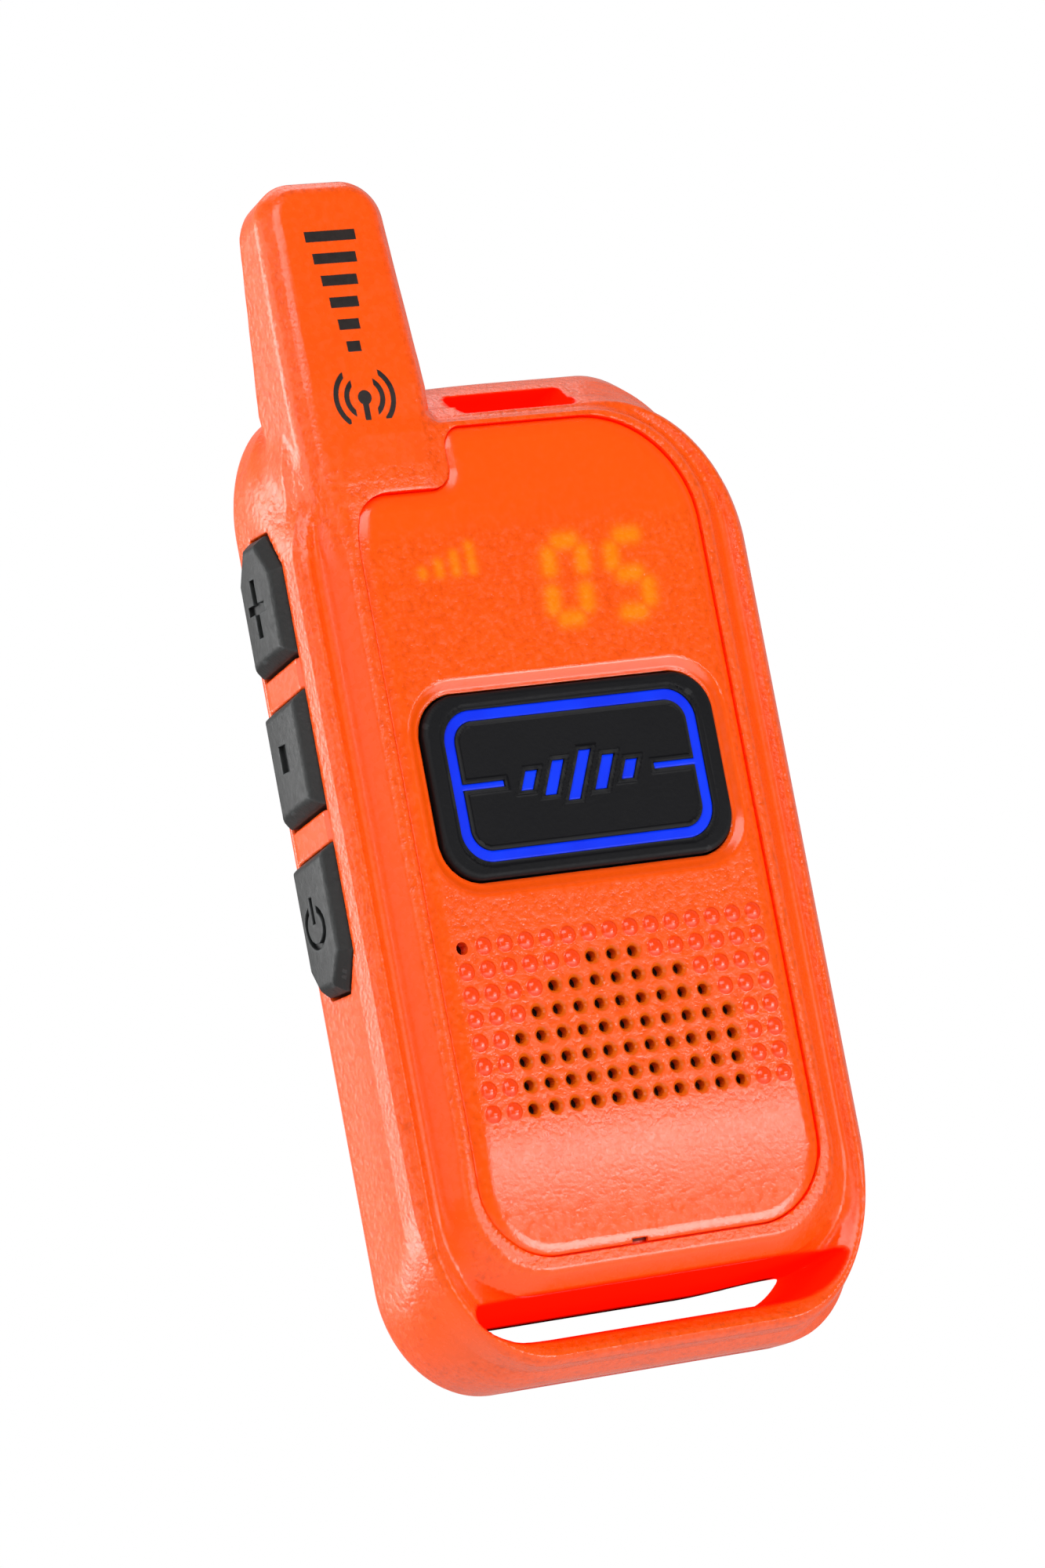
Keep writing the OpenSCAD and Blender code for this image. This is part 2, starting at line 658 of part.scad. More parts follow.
// ---------- battery ----------

module battery_pack() color("steelblue") union() {
    slab(0.7, 5.5) polygon(round_rect(0, 44, 15.3, 24, 2.2));
    translate([-9, 1.2, 67.5]) cube([18, 3.4, 2.2]);
}

module battery_pad() color("dimgray") translate([-11, -0.15, 26]) cube([22, 0.8, 36]);

// Plug on its base on the board, and two wires down to the pack
module battery_leads() color("firebrick") union() {
    translate([-12.5, 0.83, 72.4]) cube([4, 2.4, 3.2]);
    translate([-12.9, board_back_y, 72]) cube([4.8, 1.03, 4]);
    wire([[-11.4, 2.1, 72.7], [-11.4, 2.1, 71.2], [-7.6, 2.6, 70.4], [-7.6, 2.9, 70.1]], 0.35);
    wire([[-9.6, 2.1, 72.7], [-9.6, 2.1, 71.5], [-5.6, 2.6, 70.5], [-5.6, 2.9, 70.1]], 0.35);
}

// ---------- belt clip ----------

spring_wire_r = 0.34;
// Side view of the clip: y and z from the pin's axis
clip_profile = [
    [-1.2, -1.6], [-1.1, -38], [-1.6, -40], [-2.6, -41.5], [-2.75, -43], [-1.7, -45.4],
    [-0.4, -46], [0.5, -44.8], [0.9, -40], [1, -8], [1.6, -2], [2.1, 1],
    [2.1, 8.4], [1.5, 9], [0.7, 8.4], [0.3, 3], [-0.2, 1.6]];

module clip_pin() color("silver") turned_x(-10.1, clip_y, clip_z) cylinder(d = pin_d, h = 20.2);

// Closed-wound coil: a ribbed sleeve of wire turns, with its two legs
module clip_spring() color("silver") union() {
    turned_x(-2.45, clip_y, clip_z) rotate_extrude($fn = 48)
        union() {
            translate([pin_d / 2 + 0.3, 0.1]) square([0.4, 4.6]);
            for (i = [0:6]) translate([pin_d / 2 + 0.5, 0.37 + 0.69 * i])
                circle(r = spring_wire_r, $fn = 24);
        }
    // left leg to the cover, right leg to the clip
    for (leg = [[-2.1, back_y + 0.36], [2.1, clip_y - 1.62]])
        wire([[leg[0], clip_y - 1.5, clip_z - 0.2], [leg[0], leg[1], clip_z - 10]],
            spring_wire_r);
}

module belt_clip() color("orangered") difference() {
    union() {
        side_slab(-clip_half_w, clip_half_w)
            polygon([for (p = clip_profile) [clip_y + p[0], clip_z + p[1]]]);
        turned_x(-clip_half_w, clip_y, clip_z) cylinder(r = 2.15, h = 2 * clip_half_w);
    }
    turned_x(-12, clip_y, clip_z) cylinder(d = pin_d + 0.12, h = 24);
    // room for the spring between the knuckles
    translate([-2.7, clip_y - 3, clip_z - 3]) cube([5.4, 8, 6]);
    // long window in the arm
    slab(clip_y - 2, clip_y + 4) polygon(round_rect(0, clip_z - 24, 3, 11, 2.9));
}

// ---------- port cover ----------

module port_cover() color("dimgray") union() {
    side_slab(half_w - 1.2, half_w - 0.05) polygon(round_rect(port_y, 65.35, 3.25, 8.4, 1.9));
    // hollow plug that reaches into the opening
    side_slab(half_w - 1.95, half_w - 1.1) difference() {
        polygon(round_rect(port_y, port_z, 1.55, 4.3, 1.3));
        polygon(round_rect(port_y, port_z, 0.8, 3.5, 0.7));
    }
    // grip bead at the upper end
    side_slab(half_w - 0.1, half_w + 0.35) polygon(round_rect(port_y, 72.3, 2, 0.5, 0.49));
    // neck and round bead the cover swings on
    translate([half_w - 1, -0.3, flap_z]) cube([0.9, 3.6, 2.2]);
    turned_y(half_w - 0.7, -0.4, flap_z) cylinder(r = 0.55, h = 3.8);
}

// ---------- talk pad ----------

inlay_gap = 0.04;               // clearance round the inlay

// Plan of the lit inlay, grown by a margin: ring, two lines and a row of
// slanted level bars
module inlay_plan(margin) {
    difference() {
        polygon(round_rect(0, ptt_z, 14.5 + margin, 7.75 + margin, 3.3 + margin));
        polygon(round_rect(0, ptt_z, 13.4 - margin, 6.65 - margin, 2.3 - margin));
    }
    // lines in from the ring at mid height
    for (side = [-1, 1])
        translate([side * 11.3 - 2.6, ptt_z - 0.3 - margin]) square([5.2, 0.6 + 2 * margin]);
    // slanted bars, tallest in the middle
    for (i = [-2:2])
        let (x = 2.9 * i,
            height = 4.9 - 1.5 * abs(i),
            reach = height / 2 + margin,
            half = 0.65 + margin,
            lean = 0.22 * height)
        polygon([[x - half - lean, ptt_z - reach], [x + half - lean, ptt_z - reach],
            [x + half + lean, ptt_z + reach], [x - half + lean, ptt_z + reach]]);
}

// Buried runner that joins the inlay's bars to its ring
module inlay_runner(margin) slab(front_y + 0.8 - margin, front_y + 1.3 + margin)
    translate([-ptt_led_x - margin, ptt_z - 0.3 - margin])
        square([2 * (ptt_led_x + margin), 0.6 + 2 * margin]);

module ptt_pad() color("black") difference() {
    union() {
        slab(front_y - 0.3, front_y + 2.3) polygon(ptt_rect(-0.35, 3.9));
        slab(front_y + 0.1, front_y + 2.3) polygon(ptt_rect(0, 4.2));
        // flange behind the plate
        slab(plate_back_y + 0.1, front_y + 2.3) polygon(ptt_rect(0.9, 4.6));
        // nub over the switch
        turned_y(0, front_y + 2.2, ptt_z) cylinder(r = 2, h = 1.78);
    }
    slab(front_y - 1, front_y + 0.9) inlay_plan(inlay_gap);
    inlay_runner(inlay_gap);
    // shallow field inside the border
    slab(front_y - 1, front_y - 0.05) polygon(round_rect(0, ptt_z, 14.8, 8.05, 3.5));
    // holes for the light guide's legs
    for (p = ptt_led_places)
        turned_y(p[0], front_y, p[1]) cylinder(r = 0.46, h = 4, $fn = 24);
}

module ptt_light_guide() color("blue") union() {
    slab(front_y, front_y + 0.86) inlay_plan(0);
    inlay_runner(0);
    // legs to the lamps
    for (p = ptt_led_places)
        turned_y(p[0], front_y + 0.5, p[1]) cylinder(r = 0.42, h = 4.2, $fn = 24);
}

module ptt_plunger() color("ivory") turned_y(0, front_y + 4, ptt_z) cylinder(r = 1.6, h = 1.7);

// ---------- side keys ----------

// Side view of key i; the top key tapers upwards, the bottom key downwards
function key_view(i, inset) = key_pts(key_bottom[i], key_top[i], inset, i == 0, i == 2);

module side_key(i) union() {
    hull() {
        side_slab(-half_w, -half_w + eps) polygon(key_view(i, key_gap));
        side_slab(-half_w - key_proud, -half_w - key_proud + eps) polygon(key_view(i, 1.5));
    }
    side_slab(-half_w, -inner_half_w + 0.1) polygon(key_view(i, key_gap));
    // flange inside the wall
    side_slab(-inner_half_w + 0.08, -inner_half_w + 0.8) intersection() {
        polygon(key_view(i, -0.7));
        translate([-3.5, 0]) square([8.4, key_flange_top[i]]);
    }
    // nub over the switch
    turned_x(-inner_half_w + 0.7, key_y, key_mid[i]) cylinder(r = 1.4, h = 0.49);
}

// Sunk bar on a key, w deep along y and h high, centred at height z
module mark_cut(w, h, z)
    translate([-half_w - key_proud - 1, key_y - w / 2, z - h / 2]) cube([1 + mark_depth, w, h]);

module key_plus() color("dimgray") difference() {
    side_key(0);
    mark_cut(1, 6, 80.4);
    mark_cut(3.6, 1, 80.4);
}

module key_minus() color("dimgray") difference() {
    side_key(1);
    mark_cut(1.6, 2.8, 64.9);
}

module key_power() color("dimgray") difference() {
    side_key(2);
    // ring, open at the top, with a stem
    side_slab(-half_w - key_proud - 1, -half_w - key_proud + mark_depth) difference() {
        translate([key_y, 47.6]) circle(r = 1.7);
        translate([key_y, 47.6]) circle(r = 1.15);
        translate([1, 48.2]) square([1, 2]);
    }
    mark_cut(0.5, 1.9, 49.2);
}

module side_plunger(i) color("ivory")
    turned_x(-22.75, key_y, key_mid[i]) cylinder(r = 0.9, h = 1.3);
module plunger_plus() side_plunger(0);
module plunger_minus() side_plunger(1);
module plunger_power() side_plunger(2);

// ---------- assembly ----------

// Put a piece in place above the bottom face
module placed() translate([0, 0, drop]) children();

placed() housing();
placed() front_plate();
placed() plate_seal();
placed() rear_cover();
placed() cover_seal();
placed() case_screws();
placed() main_board();
placed() board_screws();
placed() rf_shield();
placed() board_chips();
placed() display_housing();
placed() display_segments();
placed() display_lamps();
placed() ptt_switch();
placed() ptt_leds();
placed() side_board();
placed() side_switches();
placed() speaker_frame();
placed() speaker_magnet();
placed() speaker_gasket();
placed() speaker_cloth();
placed() speaker_leads();
placed() microphone();
placed() microphone_boot();
placed() aerial_former();
placed() aerial_coil();
placed() aerial_feed();
placed() battery_pack();
placed() battery_pad();
placed() battery_leads();
placed() usb_socket();
placed() clip_pin();
placed() clip_spring();
placed() belt_clip();
placed() port_cover();
placed() ptt_pad();
placed() ptt_light_guide();
placed() ptt_plunger();
placed() key_plus();
placed() key_minus();
placed() key_power();
placed() plunger_plus();
placed() plunger_minus();
placed() plunger_power();
placed() speaker_cone();
placed() voice_coil();
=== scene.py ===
"""Hand-held two-way radio with an aerial, talk pad, side keys, belt clip and socket flap.

It stands upright on z = 0 with its front towards -y. The aerial is at the upper left (-x),
the keys are on the left side and the charging socket is on the right.
"""

import json
import math
from functools import reduce

import bpy
import numpy as np
from mathutils import Matrix, Vector


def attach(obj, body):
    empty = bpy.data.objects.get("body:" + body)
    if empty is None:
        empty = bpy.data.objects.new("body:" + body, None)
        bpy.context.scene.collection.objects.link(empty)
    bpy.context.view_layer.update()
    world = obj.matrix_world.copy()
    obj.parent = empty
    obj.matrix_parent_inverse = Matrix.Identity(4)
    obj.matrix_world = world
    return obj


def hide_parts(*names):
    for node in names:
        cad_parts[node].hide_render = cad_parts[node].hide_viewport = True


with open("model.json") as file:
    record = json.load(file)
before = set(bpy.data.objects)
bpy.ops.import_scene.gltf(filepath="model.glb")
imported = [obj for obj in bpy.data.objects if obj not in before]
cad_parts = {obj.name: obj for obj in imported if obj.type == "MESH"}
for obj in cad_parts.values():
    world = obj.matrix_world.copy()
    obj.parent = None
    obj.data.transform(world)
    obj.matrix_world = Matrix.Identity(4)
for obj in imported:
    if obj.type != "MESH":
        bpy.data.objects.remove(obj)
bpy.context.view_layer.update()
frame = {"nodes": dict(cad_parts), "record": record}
MM = 0.001
DROP = 1.1  # the shapes' z = 0 lies this far above the floor
CHUNK = 300000  # points handled at a time

# Driving sizes, in millimetres
FACE_Y = -8.5  # flat of the front plate
AERIAL_X = 16.1  # distance of the aerial's axis to the left of the middle
PAD_Z = 58.4
SIDE_Y = 1.5  # middle of the side keys and of the socket
HINGE_Y, HINGE_Z = 11, 82  # belt clip's axis
GRILLE_Z, GRILLE_PITCH = 42.4, 2.4  # top row and spacing of the dots
MIC_COLUMN = -7
# Furthest hole from the middle in each grille row, from the top
HOLE_REACH = np.array((-1, 1, 3, 4, 5, 5, 5, 5))
# Plus, minus and power key: ends and middle in z
KEY_BOTTOM = (74.6, 59.0, 40.3)
KEY_TOP = (87.7, 71.4, 55.7)
KEY_MIDDLE = (80.0, 64.4, 48.0)
KEY_SLANT = 1.1  # fall of the keys' dividing lines towards the back
# Screw posts on either side: x, z, front end, bottom of the bore
POSTS = ((17.5, 15.5, 0.4, 0.9), (11.0, 90.2, 2.2, 2.6))


# ---------------------------------------------------------------- shape maths
# A shape is a function of x, y, z that is negative inside, about a distance in millimetres.

def both(*shapes):
    """Intersection."""
    return reduce(np.maximum, shapes)


def either(*shapes):
    """Union."""
    return reduce(np.minimum, shapes)


def meet(first, other, radius):
    """Intersection with a rounded edge."""
    return (either(both(first, other), -radius)
            + np.hypot(both(first + radius, 0), both(other + radius, 0)))


def join(first, other, radius):
    """Union with a fillet."""
    return (both(either(first, other), radius)
            - np.hypot(both(radius - first, 0), both(radius - other, 0)))


def cut(first, other, radius=0.0):
    """The first without the other, the new edge rounded."""
    return meet(first, -other, radius) if radius > 0 else both(first, -other)


def smooth(t):
    """Smooth step from 0 to 1."""
    t = np.clip(t, 0, 1)
    return t * t * (3 - 2 * t)


def outline(x, z, half, low, high, top_x, top_z, foot_x, foot_z, left_x=None, left_z=None):
    """Upright outline with elliptic corners, given by their radii; the upper left may differ."""
    side = np.abs(x)
    shape = both(side - half, z - high, low - z)
    if left_x is not None:
        top_x = np.where(x < 0, left_x, top_x)
        top_z = np.where(x < 0, left_z, top_z)
    for radius_x, radius_z, past_z in ((top_x, top_z, z - (high - top_z)),
                                       (foot_x, foot_z, (low + foot_z) - z)):
        past_x = side - (half - radius_x)
        ratio = np.hypot(past_x / radius_x, past_z / radius_z)
        slope = np.hypot(past_x / radius_x**2, past_z / radius_z**2)
        corner = ratio * (ratio - 1) / both(slope, 1e-6)
        shape = np.where((past_x > 0) & (past_z > 0), corner, shape)
    return shape


def stations(place, table):
    """The table's further columns, interpolated at a place along its first."""
    table = np.array(table, float)
    return [np.interp(place, table[:, 0], column) for column in table.T[1:]]


def loft(x, y, z, table):
    """Outline that changes with depth."""
    return outline(x, z, *stations(y, table))


def rect(x, z, mid_x, mid_z, half_x, half_z, radius):
    past_x = np.abs(x - mid_x) - half_x + radius
    past_z = np.abs(z - mid_z) - half_z + radius
    return np.hypot(both(past_x, 0), both(past_z, 0)) + either(both(past_x, past_z), 0) - radius


def pad_rect(x, z, half_x, half_z, radius):
    """Rounded rectangle about the middle of the talk pad."""
    return rect(x, z, 0, PAD_Z, half_x, half_z, radius)


def polygon(across, up, points):
    """Signed distance to a closed polygon."""
    points = np.asarray(points, float)
    nearest = np.full(np.shape(across), 1e9)
    sign = np.ones(np.shape(across))
    for i in range(len(points)):
        start, end = points[i - 1], points[i]
        edge = end - start
        off_x, off_z = across - start[0], up - start[1]
        along = np.clip((off_x * edge[0] + off_z * edge[1]) / (edge @ edge), 0, 1)
        gap = (off_x - edge[0] * along) ** 2 + (off_z - edge[1] * along) ** 2
        nearest = either(nearest, gap)
        above, below = up >= start[1], up < end[1]
        turn = edge[0] * off_z > edge[1] * off_x
        sign = np.where((above & below & turn) | (~above & ~below & ~turn), -sign, sign)
    return sign * np.sqrt(nearest)


def disc(across, up, mid_across, mid_up, radius):
    return np.hypot(across - mid_across, up - mid_up) - radius


def bar(across, up, mid_across, mid_up, half_across, half_up):
    """Sharp-cornered rectangle."""
    return both(np.abs(across - mid_across) - half_across, np.abs(up - mid_up) - half_up)


def band(place, start, end):
    return both(start - place, place - end)


# ---------------------------------------------------------------- meshing
def sample(shape, points):
    out = np.empty(len(points))
    for i in range(0, len(points), CHUNK):
        x, y, z = points[i:i + CHUNK].T
        out[i:i + CHUNK] = shape(x, y, z)
    return out


def gradient(shape, points, reach=0.012):
    """Unit normals, from four samples round each point."""
    total = np.zeros_like(points)
    for corner in ((1, -1, -1), (-1, -1, 1), (-1, 1, -1), (1, 1, 1)):
        corner = np.array(corner, float)
        total += corner * sample(shape, points + reach * corner)[:, None]
    return total / np.maximum(np.linalg.norm(total, axis=1, keepdims=True), 1e-12)


def crossings(shape, value, origin, pitch, axis):
    """Where the surface crosses grid edges along an axis, and the four cells round each."""
    near, far = [slice(None)] * 3, [slice(None)] * 3
    near[axis], far[axis] = slice(0, -1), slice(1, None)
    inside = value < 0
    index = np.argwhere(inside[tuple(near)] != inside[tuple(far)])
    across = [(axis + 1) % 3, (axis + 2) % 3]
    limit = np.array(value.shape)[across] - 1
    index = index[((index[:, across] > 0) & (index[:, across] < limit)).all(axis=1)]
    edge = np.zeros(3, int)
    edge[axis] = 1
    first = value[tuple(index.T)]
    start_value, end_value = first.copy(), value[tuple((index + edge).T)]
    start, end = np.zeros(len(index)), np.ones(len(index))
    base = origin + index * pitch
    for _ in range(4):
        share = np.clip(start_value / (start_value - end_value), 0.05, 0.95)
        middle = start + (end - start) * share
        found = sample(shape, base + (middle * pitch)[:, None] * edge)
        same = (found < 0) == (first < 0)
        start, start_value = np.where(same, middle, start), np.where(same, found, start_value)
        end, end_value = np.where(same, end, middle), np.where(same, end_value, found)
    span = np.where(start_value == end_value, 1, start_value - end_value)
    middle = start + (end - start) * start_value / span
    quads = []
    for back in ((-1, -1), (0, -1), (0, 0), (-1, 0)):
        cell = index.copy()
        cell[:, across] += np.array(back)
        quads.append(np.ravel_multi_index(tuple(cell.T), value.shape))
    quads = np.stack(quads, 1)
    quads[first > 0] = quads[first > 0][:, ::-1]
    return base + (middle * pitch)[:, None] * edge, quads


def contour(shape, low, high, pitch):
    """Dual contouring: quads whose corners sit on the shape's edges and creases."""
    origin = np.array(low, float) - pitch * 1.37
    size = np.ceil((np.array(high, float) + pitch * 1.5 - origin) / pitch).astype(int) + 1
    ticks = [origin[k] + pitch * np.arange(size[k]) for k in range(3)]
    value = np.empty(size)
    rows = max(1, int(CHUNK // (size[1] * size[2])))
    for i in range(0, size[0], rows):
        grid = np.meshgrid(ticks[0][i:i + rows], ticks[1], ticks[2], indexing="ij")
        value[i:i + rows] = shape(*[axis.ravel() for axis in grid]).reshape(grid[0].shape)
    found = [crossings(shape, value, origin, pitch, axis) for axis in range(3)]
    points, cells = (np.concatenate(part) for part in zip(*found))
    ids, owner = np.unique(cells.ravel(), return_inverse=True)
    owner = owner.reshape(-1)
    count = len(ids)
    point = np.repeat(np.arange(len(points)), 4)
    # each vertex starts at the mean of its cell's crossings
    share = np.bincount(owner, minlength=count).astype(float)
    sums = [np.bincount(owner, points[point, k], count) for k in range(3)]
    mean = np.stack(sums, 1) / share[:, None]
    # then moves to where the crossings' tangent planes meet, by least squares
    normal = gradient(shape, points)[point]
    gap = (normal * (points[point] - mean[owner])).sum(1)
    matrix = np.zeros((count, 3, 3))
    target = np.zeros((count, 3))
    for i in range(3):
        target[:, i] = np.bincount(owner, normal[:, i] * gap, count)
        for j in range(i, 3):
            product = np.bincount(owner, normal[:, i] * normal[:, j], count)
            matrix[:, i, j] = matrix[:, j, i] = product
    power, basis = np.linalg.eigh(matrix)
    keep = power > 0.07 * power[:, 2:3]
    inverse = np.where(keep, 1 / np.where(keep, power, 1), 0)
    offset = np.einsum("nij,nj,nkj,nk->ni", basis, inverse, basis, target)
    corner = np.stack(np.unravel_index(ids, value.shape), 1) * pitch + origin
    vertices = np.clip(mean + offset, corner - 0.02 * pitch, corner + 1.02 * pitch)
    return vertices, owner.reshape(-1, 4)


def add_object(name, data):
    ob = bpy.data.objects.new(name, data)
    bpy.context.scene.collection.objects.link(ob)
    return ob


def piece(name, shape, low, high, pitch, body, slot, node=None, material=None, attributes={}):
    """A mesh of the shape within low..high on a grid of the pitch, riding on a CAD body."""
    vertices, quads = contour(shape, low, high, pitch)
    mesh = bpy.data.meshes.new(name)
    mesh.vertices.add(len(vertices))
    placed = (vertices + [0, 0, DROP]) * MM
    mesh.vertices.foreach_set("co", placed.astype(np.float32).ravel())
    mesh.loops.add(quads.size)
    mesh.loops.foreach_set("vertex_index", quads.astype(np.int32).ravel())
    mesh.polygons.add(len(quads))
    mesh.polygons.foreach_set("loop_start", (np.arange(len(quads)) * 4).astype(np.int32))
    mesh.polygons.foreach_set("loop_total", np.full(len(quads), 4, np.int32))
    mesh.update(calc_edges=True)
    mesh.validate()
    faces = len(mesh.polygons)
    mesh.polygons.foreach_set("use_smooth", np.ones(faces, bool))
    # corner normals, taken a little way in towards the middle of each face
    corner = np.empty(len(mesh.loops), np.int32)
    mesh.loops.foreach_get("vertex_index", corner)
    total = np.empty(faces, np.int32)
    mesh.polygons.foreach_get("loop_total", total)
    face = np.repeat(np.arange(faces), total)
    sums = [np.bincount(face, vertices[corner, k], faces) for k in range(3)]
    centre = np.stack(sums, 1) / total[:, None]
    normals = gradient(shape, vertices[corner] * 0.62 + centre[face] * 0.38, 0.01)
    mesh.normals_split_custom_set(normals.astype(np.float32))
    for key_name, function in attributes.items():
        layer = mesh.attributes.new(key_name, "FLOAT", "POINT")
        layer.data.foreach_set("value", function(*vertices.T).astype(np.float32))
    mesh.materials.append(MATERIALS[material or slot])
    ob = add_object(name, mesh)
    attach(ob, body)
    if node:
        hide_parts(node)


# ---------------------------------------------------------------- housing
# Columns: y, half width, bottom, top, then corner radii in x and z: top, foot, upper left
RIM_LEFT = [(-9.5, 24.1, 1.9, 95.3, 12.2, 14.6, 10.6, 14.0, 12.4, 14.9),
            (-6.5, 25.2, 0.8, 96.3, 13.2, 15.7, 11.8, 15.8, 12.0, 14.5),
            (-5.6, 26.0, 0.3, 97.1, 14.0, 16.9, 12.3, 18.2, 11.0, 14.0),
            (-2.9, 26.1, 0.0, 98.4, 14.2, 17.4, 12.6, 16.2, 10.3, 13.4),
            (-1.9, 26.04, -0.48, 99.2, 14.1, 17.5, 12.4, 15.6, 9.9, 12.8),
            (-0.9, 25.99, -0.85, 99.95, 13.9, 17.5, 12.1, 14.8, 9.5, 12.2),
            (0.3, 25.95, -1.06, 100.75, 13.6, 17.5, 11.7, 14.0, 9.1, 11.7),
            (1.8, 25.92, -1.1, 101.55, 13.3, 17.5, 11.3, 13.2, 8.8, 11.3),
            (3.5, 25.9, -1.1, 102.05, 12.2, 16.6, 10.9, 12.6, 7.2, 11.6),
            (8.0, 25.85, -1.1, 102.05, 12.2, 16.6, 10.5, 12.0, 7.0, 11.6)]
ISLAND = [(-9.0, 19.9, 10.8, 95.2, 11.2, 11.6, 8.2, 8.2, 3.6, 3.6),
          (-8.0, 21.05, 9.85, 95.9, 12.2, 12.6, 9.0, 9.0, 4.0, 4.0),
          (-5.3, 23.6, 7.3, 96.8, 13.6, 14.2, 10.4, 10.4, 5.0, 5.0),
          (-4.0, 24.6, 7.3, 98.0, 14.4, 15.5, 10.4, 10.4, 6.0, 6.0)]
# Columns: z, left, right, front, back, chamfer
AERIAL = [(80.0, -21.0, -10.0, -7.0, -4.6, 1.5),
          (84.0, -22.2, -9.5, -7.5, -3.6, 1.6),
          (88.0, -23.1, -8.9, -8.15, -1.4, 1.7),
          (90.5, -23.55, -8.5, -8.4, 0.2, 1.7),
          (100.0, -23.85, -8.05, -8.4, 1.0, 1.7),
          (116.6, -23.25, -8.7, -7.4, -0.5, 1.7),
          (122.6, -23.0, -8.95, -7.0, -0.9, 1.5)]


def right_station(row):
    """Rim station of the right half, with smaller corner radii."""
    less = (0.3, 0.9, 0, 0) if row[0] < 0 else (1.2, 1.5, 1.7, 2.6)
    return row[:4] + tuple(np.subtract(row[4:8], less)) + row[8:]


RIM_RIGHT = [right_station(row) for row in RIM_LEFT]


def key_outline(low, high, inset, top, bottom):
    """Points (y, z) round a key; top and bottom tell which of its ends are chamfered."""
    front, back = -3.25 + inset, 5.75 - inset
    ease = inset * 0.4
    if bottom:
        points = [(front, low + 4.0 + ease), (front + 2.6 - ease, low + inset),
                  (back - 1.9 + ease, low + inset), (back, low + 2.9 + ease)]
    else:
        points = [(front, low + inset), (back, low - KEY_SLANT + inset)]
    if top:
        return points + [(back, high - 4.0 - ease), (back - 2.6 + ease, high - inset),
                         (front + 2.6 - ease, high - inset), (front, high - 4.0 - ease)]
    return points + [(back, high - KEY_SLANT - inset), (front, high - inset)]


def plate_outline(x, z):
    """Front plate outline; the upper left steps round the foot of the aerial."""
    whole = outline(x, z, 19.6, 11.0, 95.2, 11.8, 12.0, 8.0, 8.0)
    return meet(whole, join(-7.9 - x, z - 88.9, 2.3), 2.1)


def aerial(x, y, z):
    left, right, front, back, chamfer = stations(z, AERIAL)
    top = (z - 122.6 + 0.16 * (y - front)) / 1.013
    edge = meet(both(left - x, x - right), top, 4.3)
    face = front - y
    solid = meet(edge, (edge + face + chamfer) * 0.7071, 0.5)
    solid = meet(solid, face, 0.5)
    solid = meet(solid, y - back, 1.0)
    return both(solid, 80.5 - z)


def strap_opening(x, y, z):
    """Strap opening, its ceiling lower behind."""
    depth = np.clip((y + 3.0) / 9.0, 0, 1)
    ceiling = 7.3 - 1.9 * depth
    ceiling = ceiling + 0.55 * smooth((x - 8.0) / 12.0) * depth
    corner_x, corner_z = np.where(x < 0, 7.0, 8.0), np.where(x < 0, 6.2, 8.0)
    around = outline(x, z, 22.7, 3.0, 90, 12, 12, corner_x, corner_z)
    return meet(around, rect(x, z, 0.4, ceiling - 6.0, 22.0, 6, 1.8), 0.3)


def lanyard_slot(x, y, z):
    z = z + 1.95 * np.clip((y + 3.0) / 12.0, 0, 1)
    return rect(x - 0.2 * (z - 98.8), z, 3.2, 98.8, 6.8, 1.6, 0.8) * 0.96


def roll(z):
    """How far the plate's face lies behind its flat, at its two ends."""
    low = np.clip((25.4 - z) / 14.4, 0, 1)
    high = np.clip((z - 84.0) / 11.0, 0, 1)
    return 0.94 * low**1.75 + 0.06 * low + 0.5 * high ** 2


def case_outside(x, y, z):
    """Rim, raised island within it and aerial."""
    lifted = z + 0.0022 * either(x - 5.0, 0) ** 2 * smooth((z - 80) / 10)
    rim = np.where(x < 0, loft(x, y, lifted, RIM_LEFT), loft(x, y, lifted, RIM_RIGHT))
    body = meet(rim, -6.8 - y, 0.7)
    body = meet(body, y - 8.0, 2.2)
    # valley between rim and island, deeper towards the strap opening
    half = np.interp(y, [-9.5, -6.5, -5.2, -3.0], [24.6, 24.45, 23.3, 22.6])
    low = np.interp(y, [-9.5, -6.5, -5.2, -3.4], [1.3, 1.6, 2.5, 3.2])
    valley = outline(x, z, half, low, 97.2, 13.3, 15.8, 11.3, 13.2)
    floor = -5.45 + 2.6 * smooth((12.5 - z) / 8.0)
    body = cut(body, meet(valley, y - floor, 0.8), 0.75)
    island = meet(loft(x, y, z, ISLAND), -8.25 + 0.75 * roll(z) * (z < 50) - y, 0.45)
    body = join(body, both(island, y - 4.0), 1.0)
    body = join(body, aerial(x, y, z), 1.5)
    # back kept flat under the fillets
    return both(body, y - 8.0)


def hollow_case(body, x, y, z):
    """Cavity, its opening behind and the front plate's seat."""
    cavity = outline(x, z, 24.0, 9.3, 95.3, 13, 17, 9, 9)
    body = cut(body, meet(cavity, band(y, -4.0, 5.0), 0.6), 0.2)
    mouth = outline(x, z, 21.9, 11, 94, 11, 15, 8, 8)
    body = cut(body, both(mouth, band(y, 4.9, 6.6)), 0.2)
    cover_seat = outline(x, z, 23.45, 10.25, 95, 12.4, 16.4, 9, 9)
    body = cut(body, both(cover_seat, 6.5 - y), 0.25)
    panel = plate_outline(x, z)
    body = cut(body, both(panel - 0.2, y + 6.6), 0.16)
    return cut(body, both(panel + 1.5, band(y, -6.7, -3.9)), 0.15)


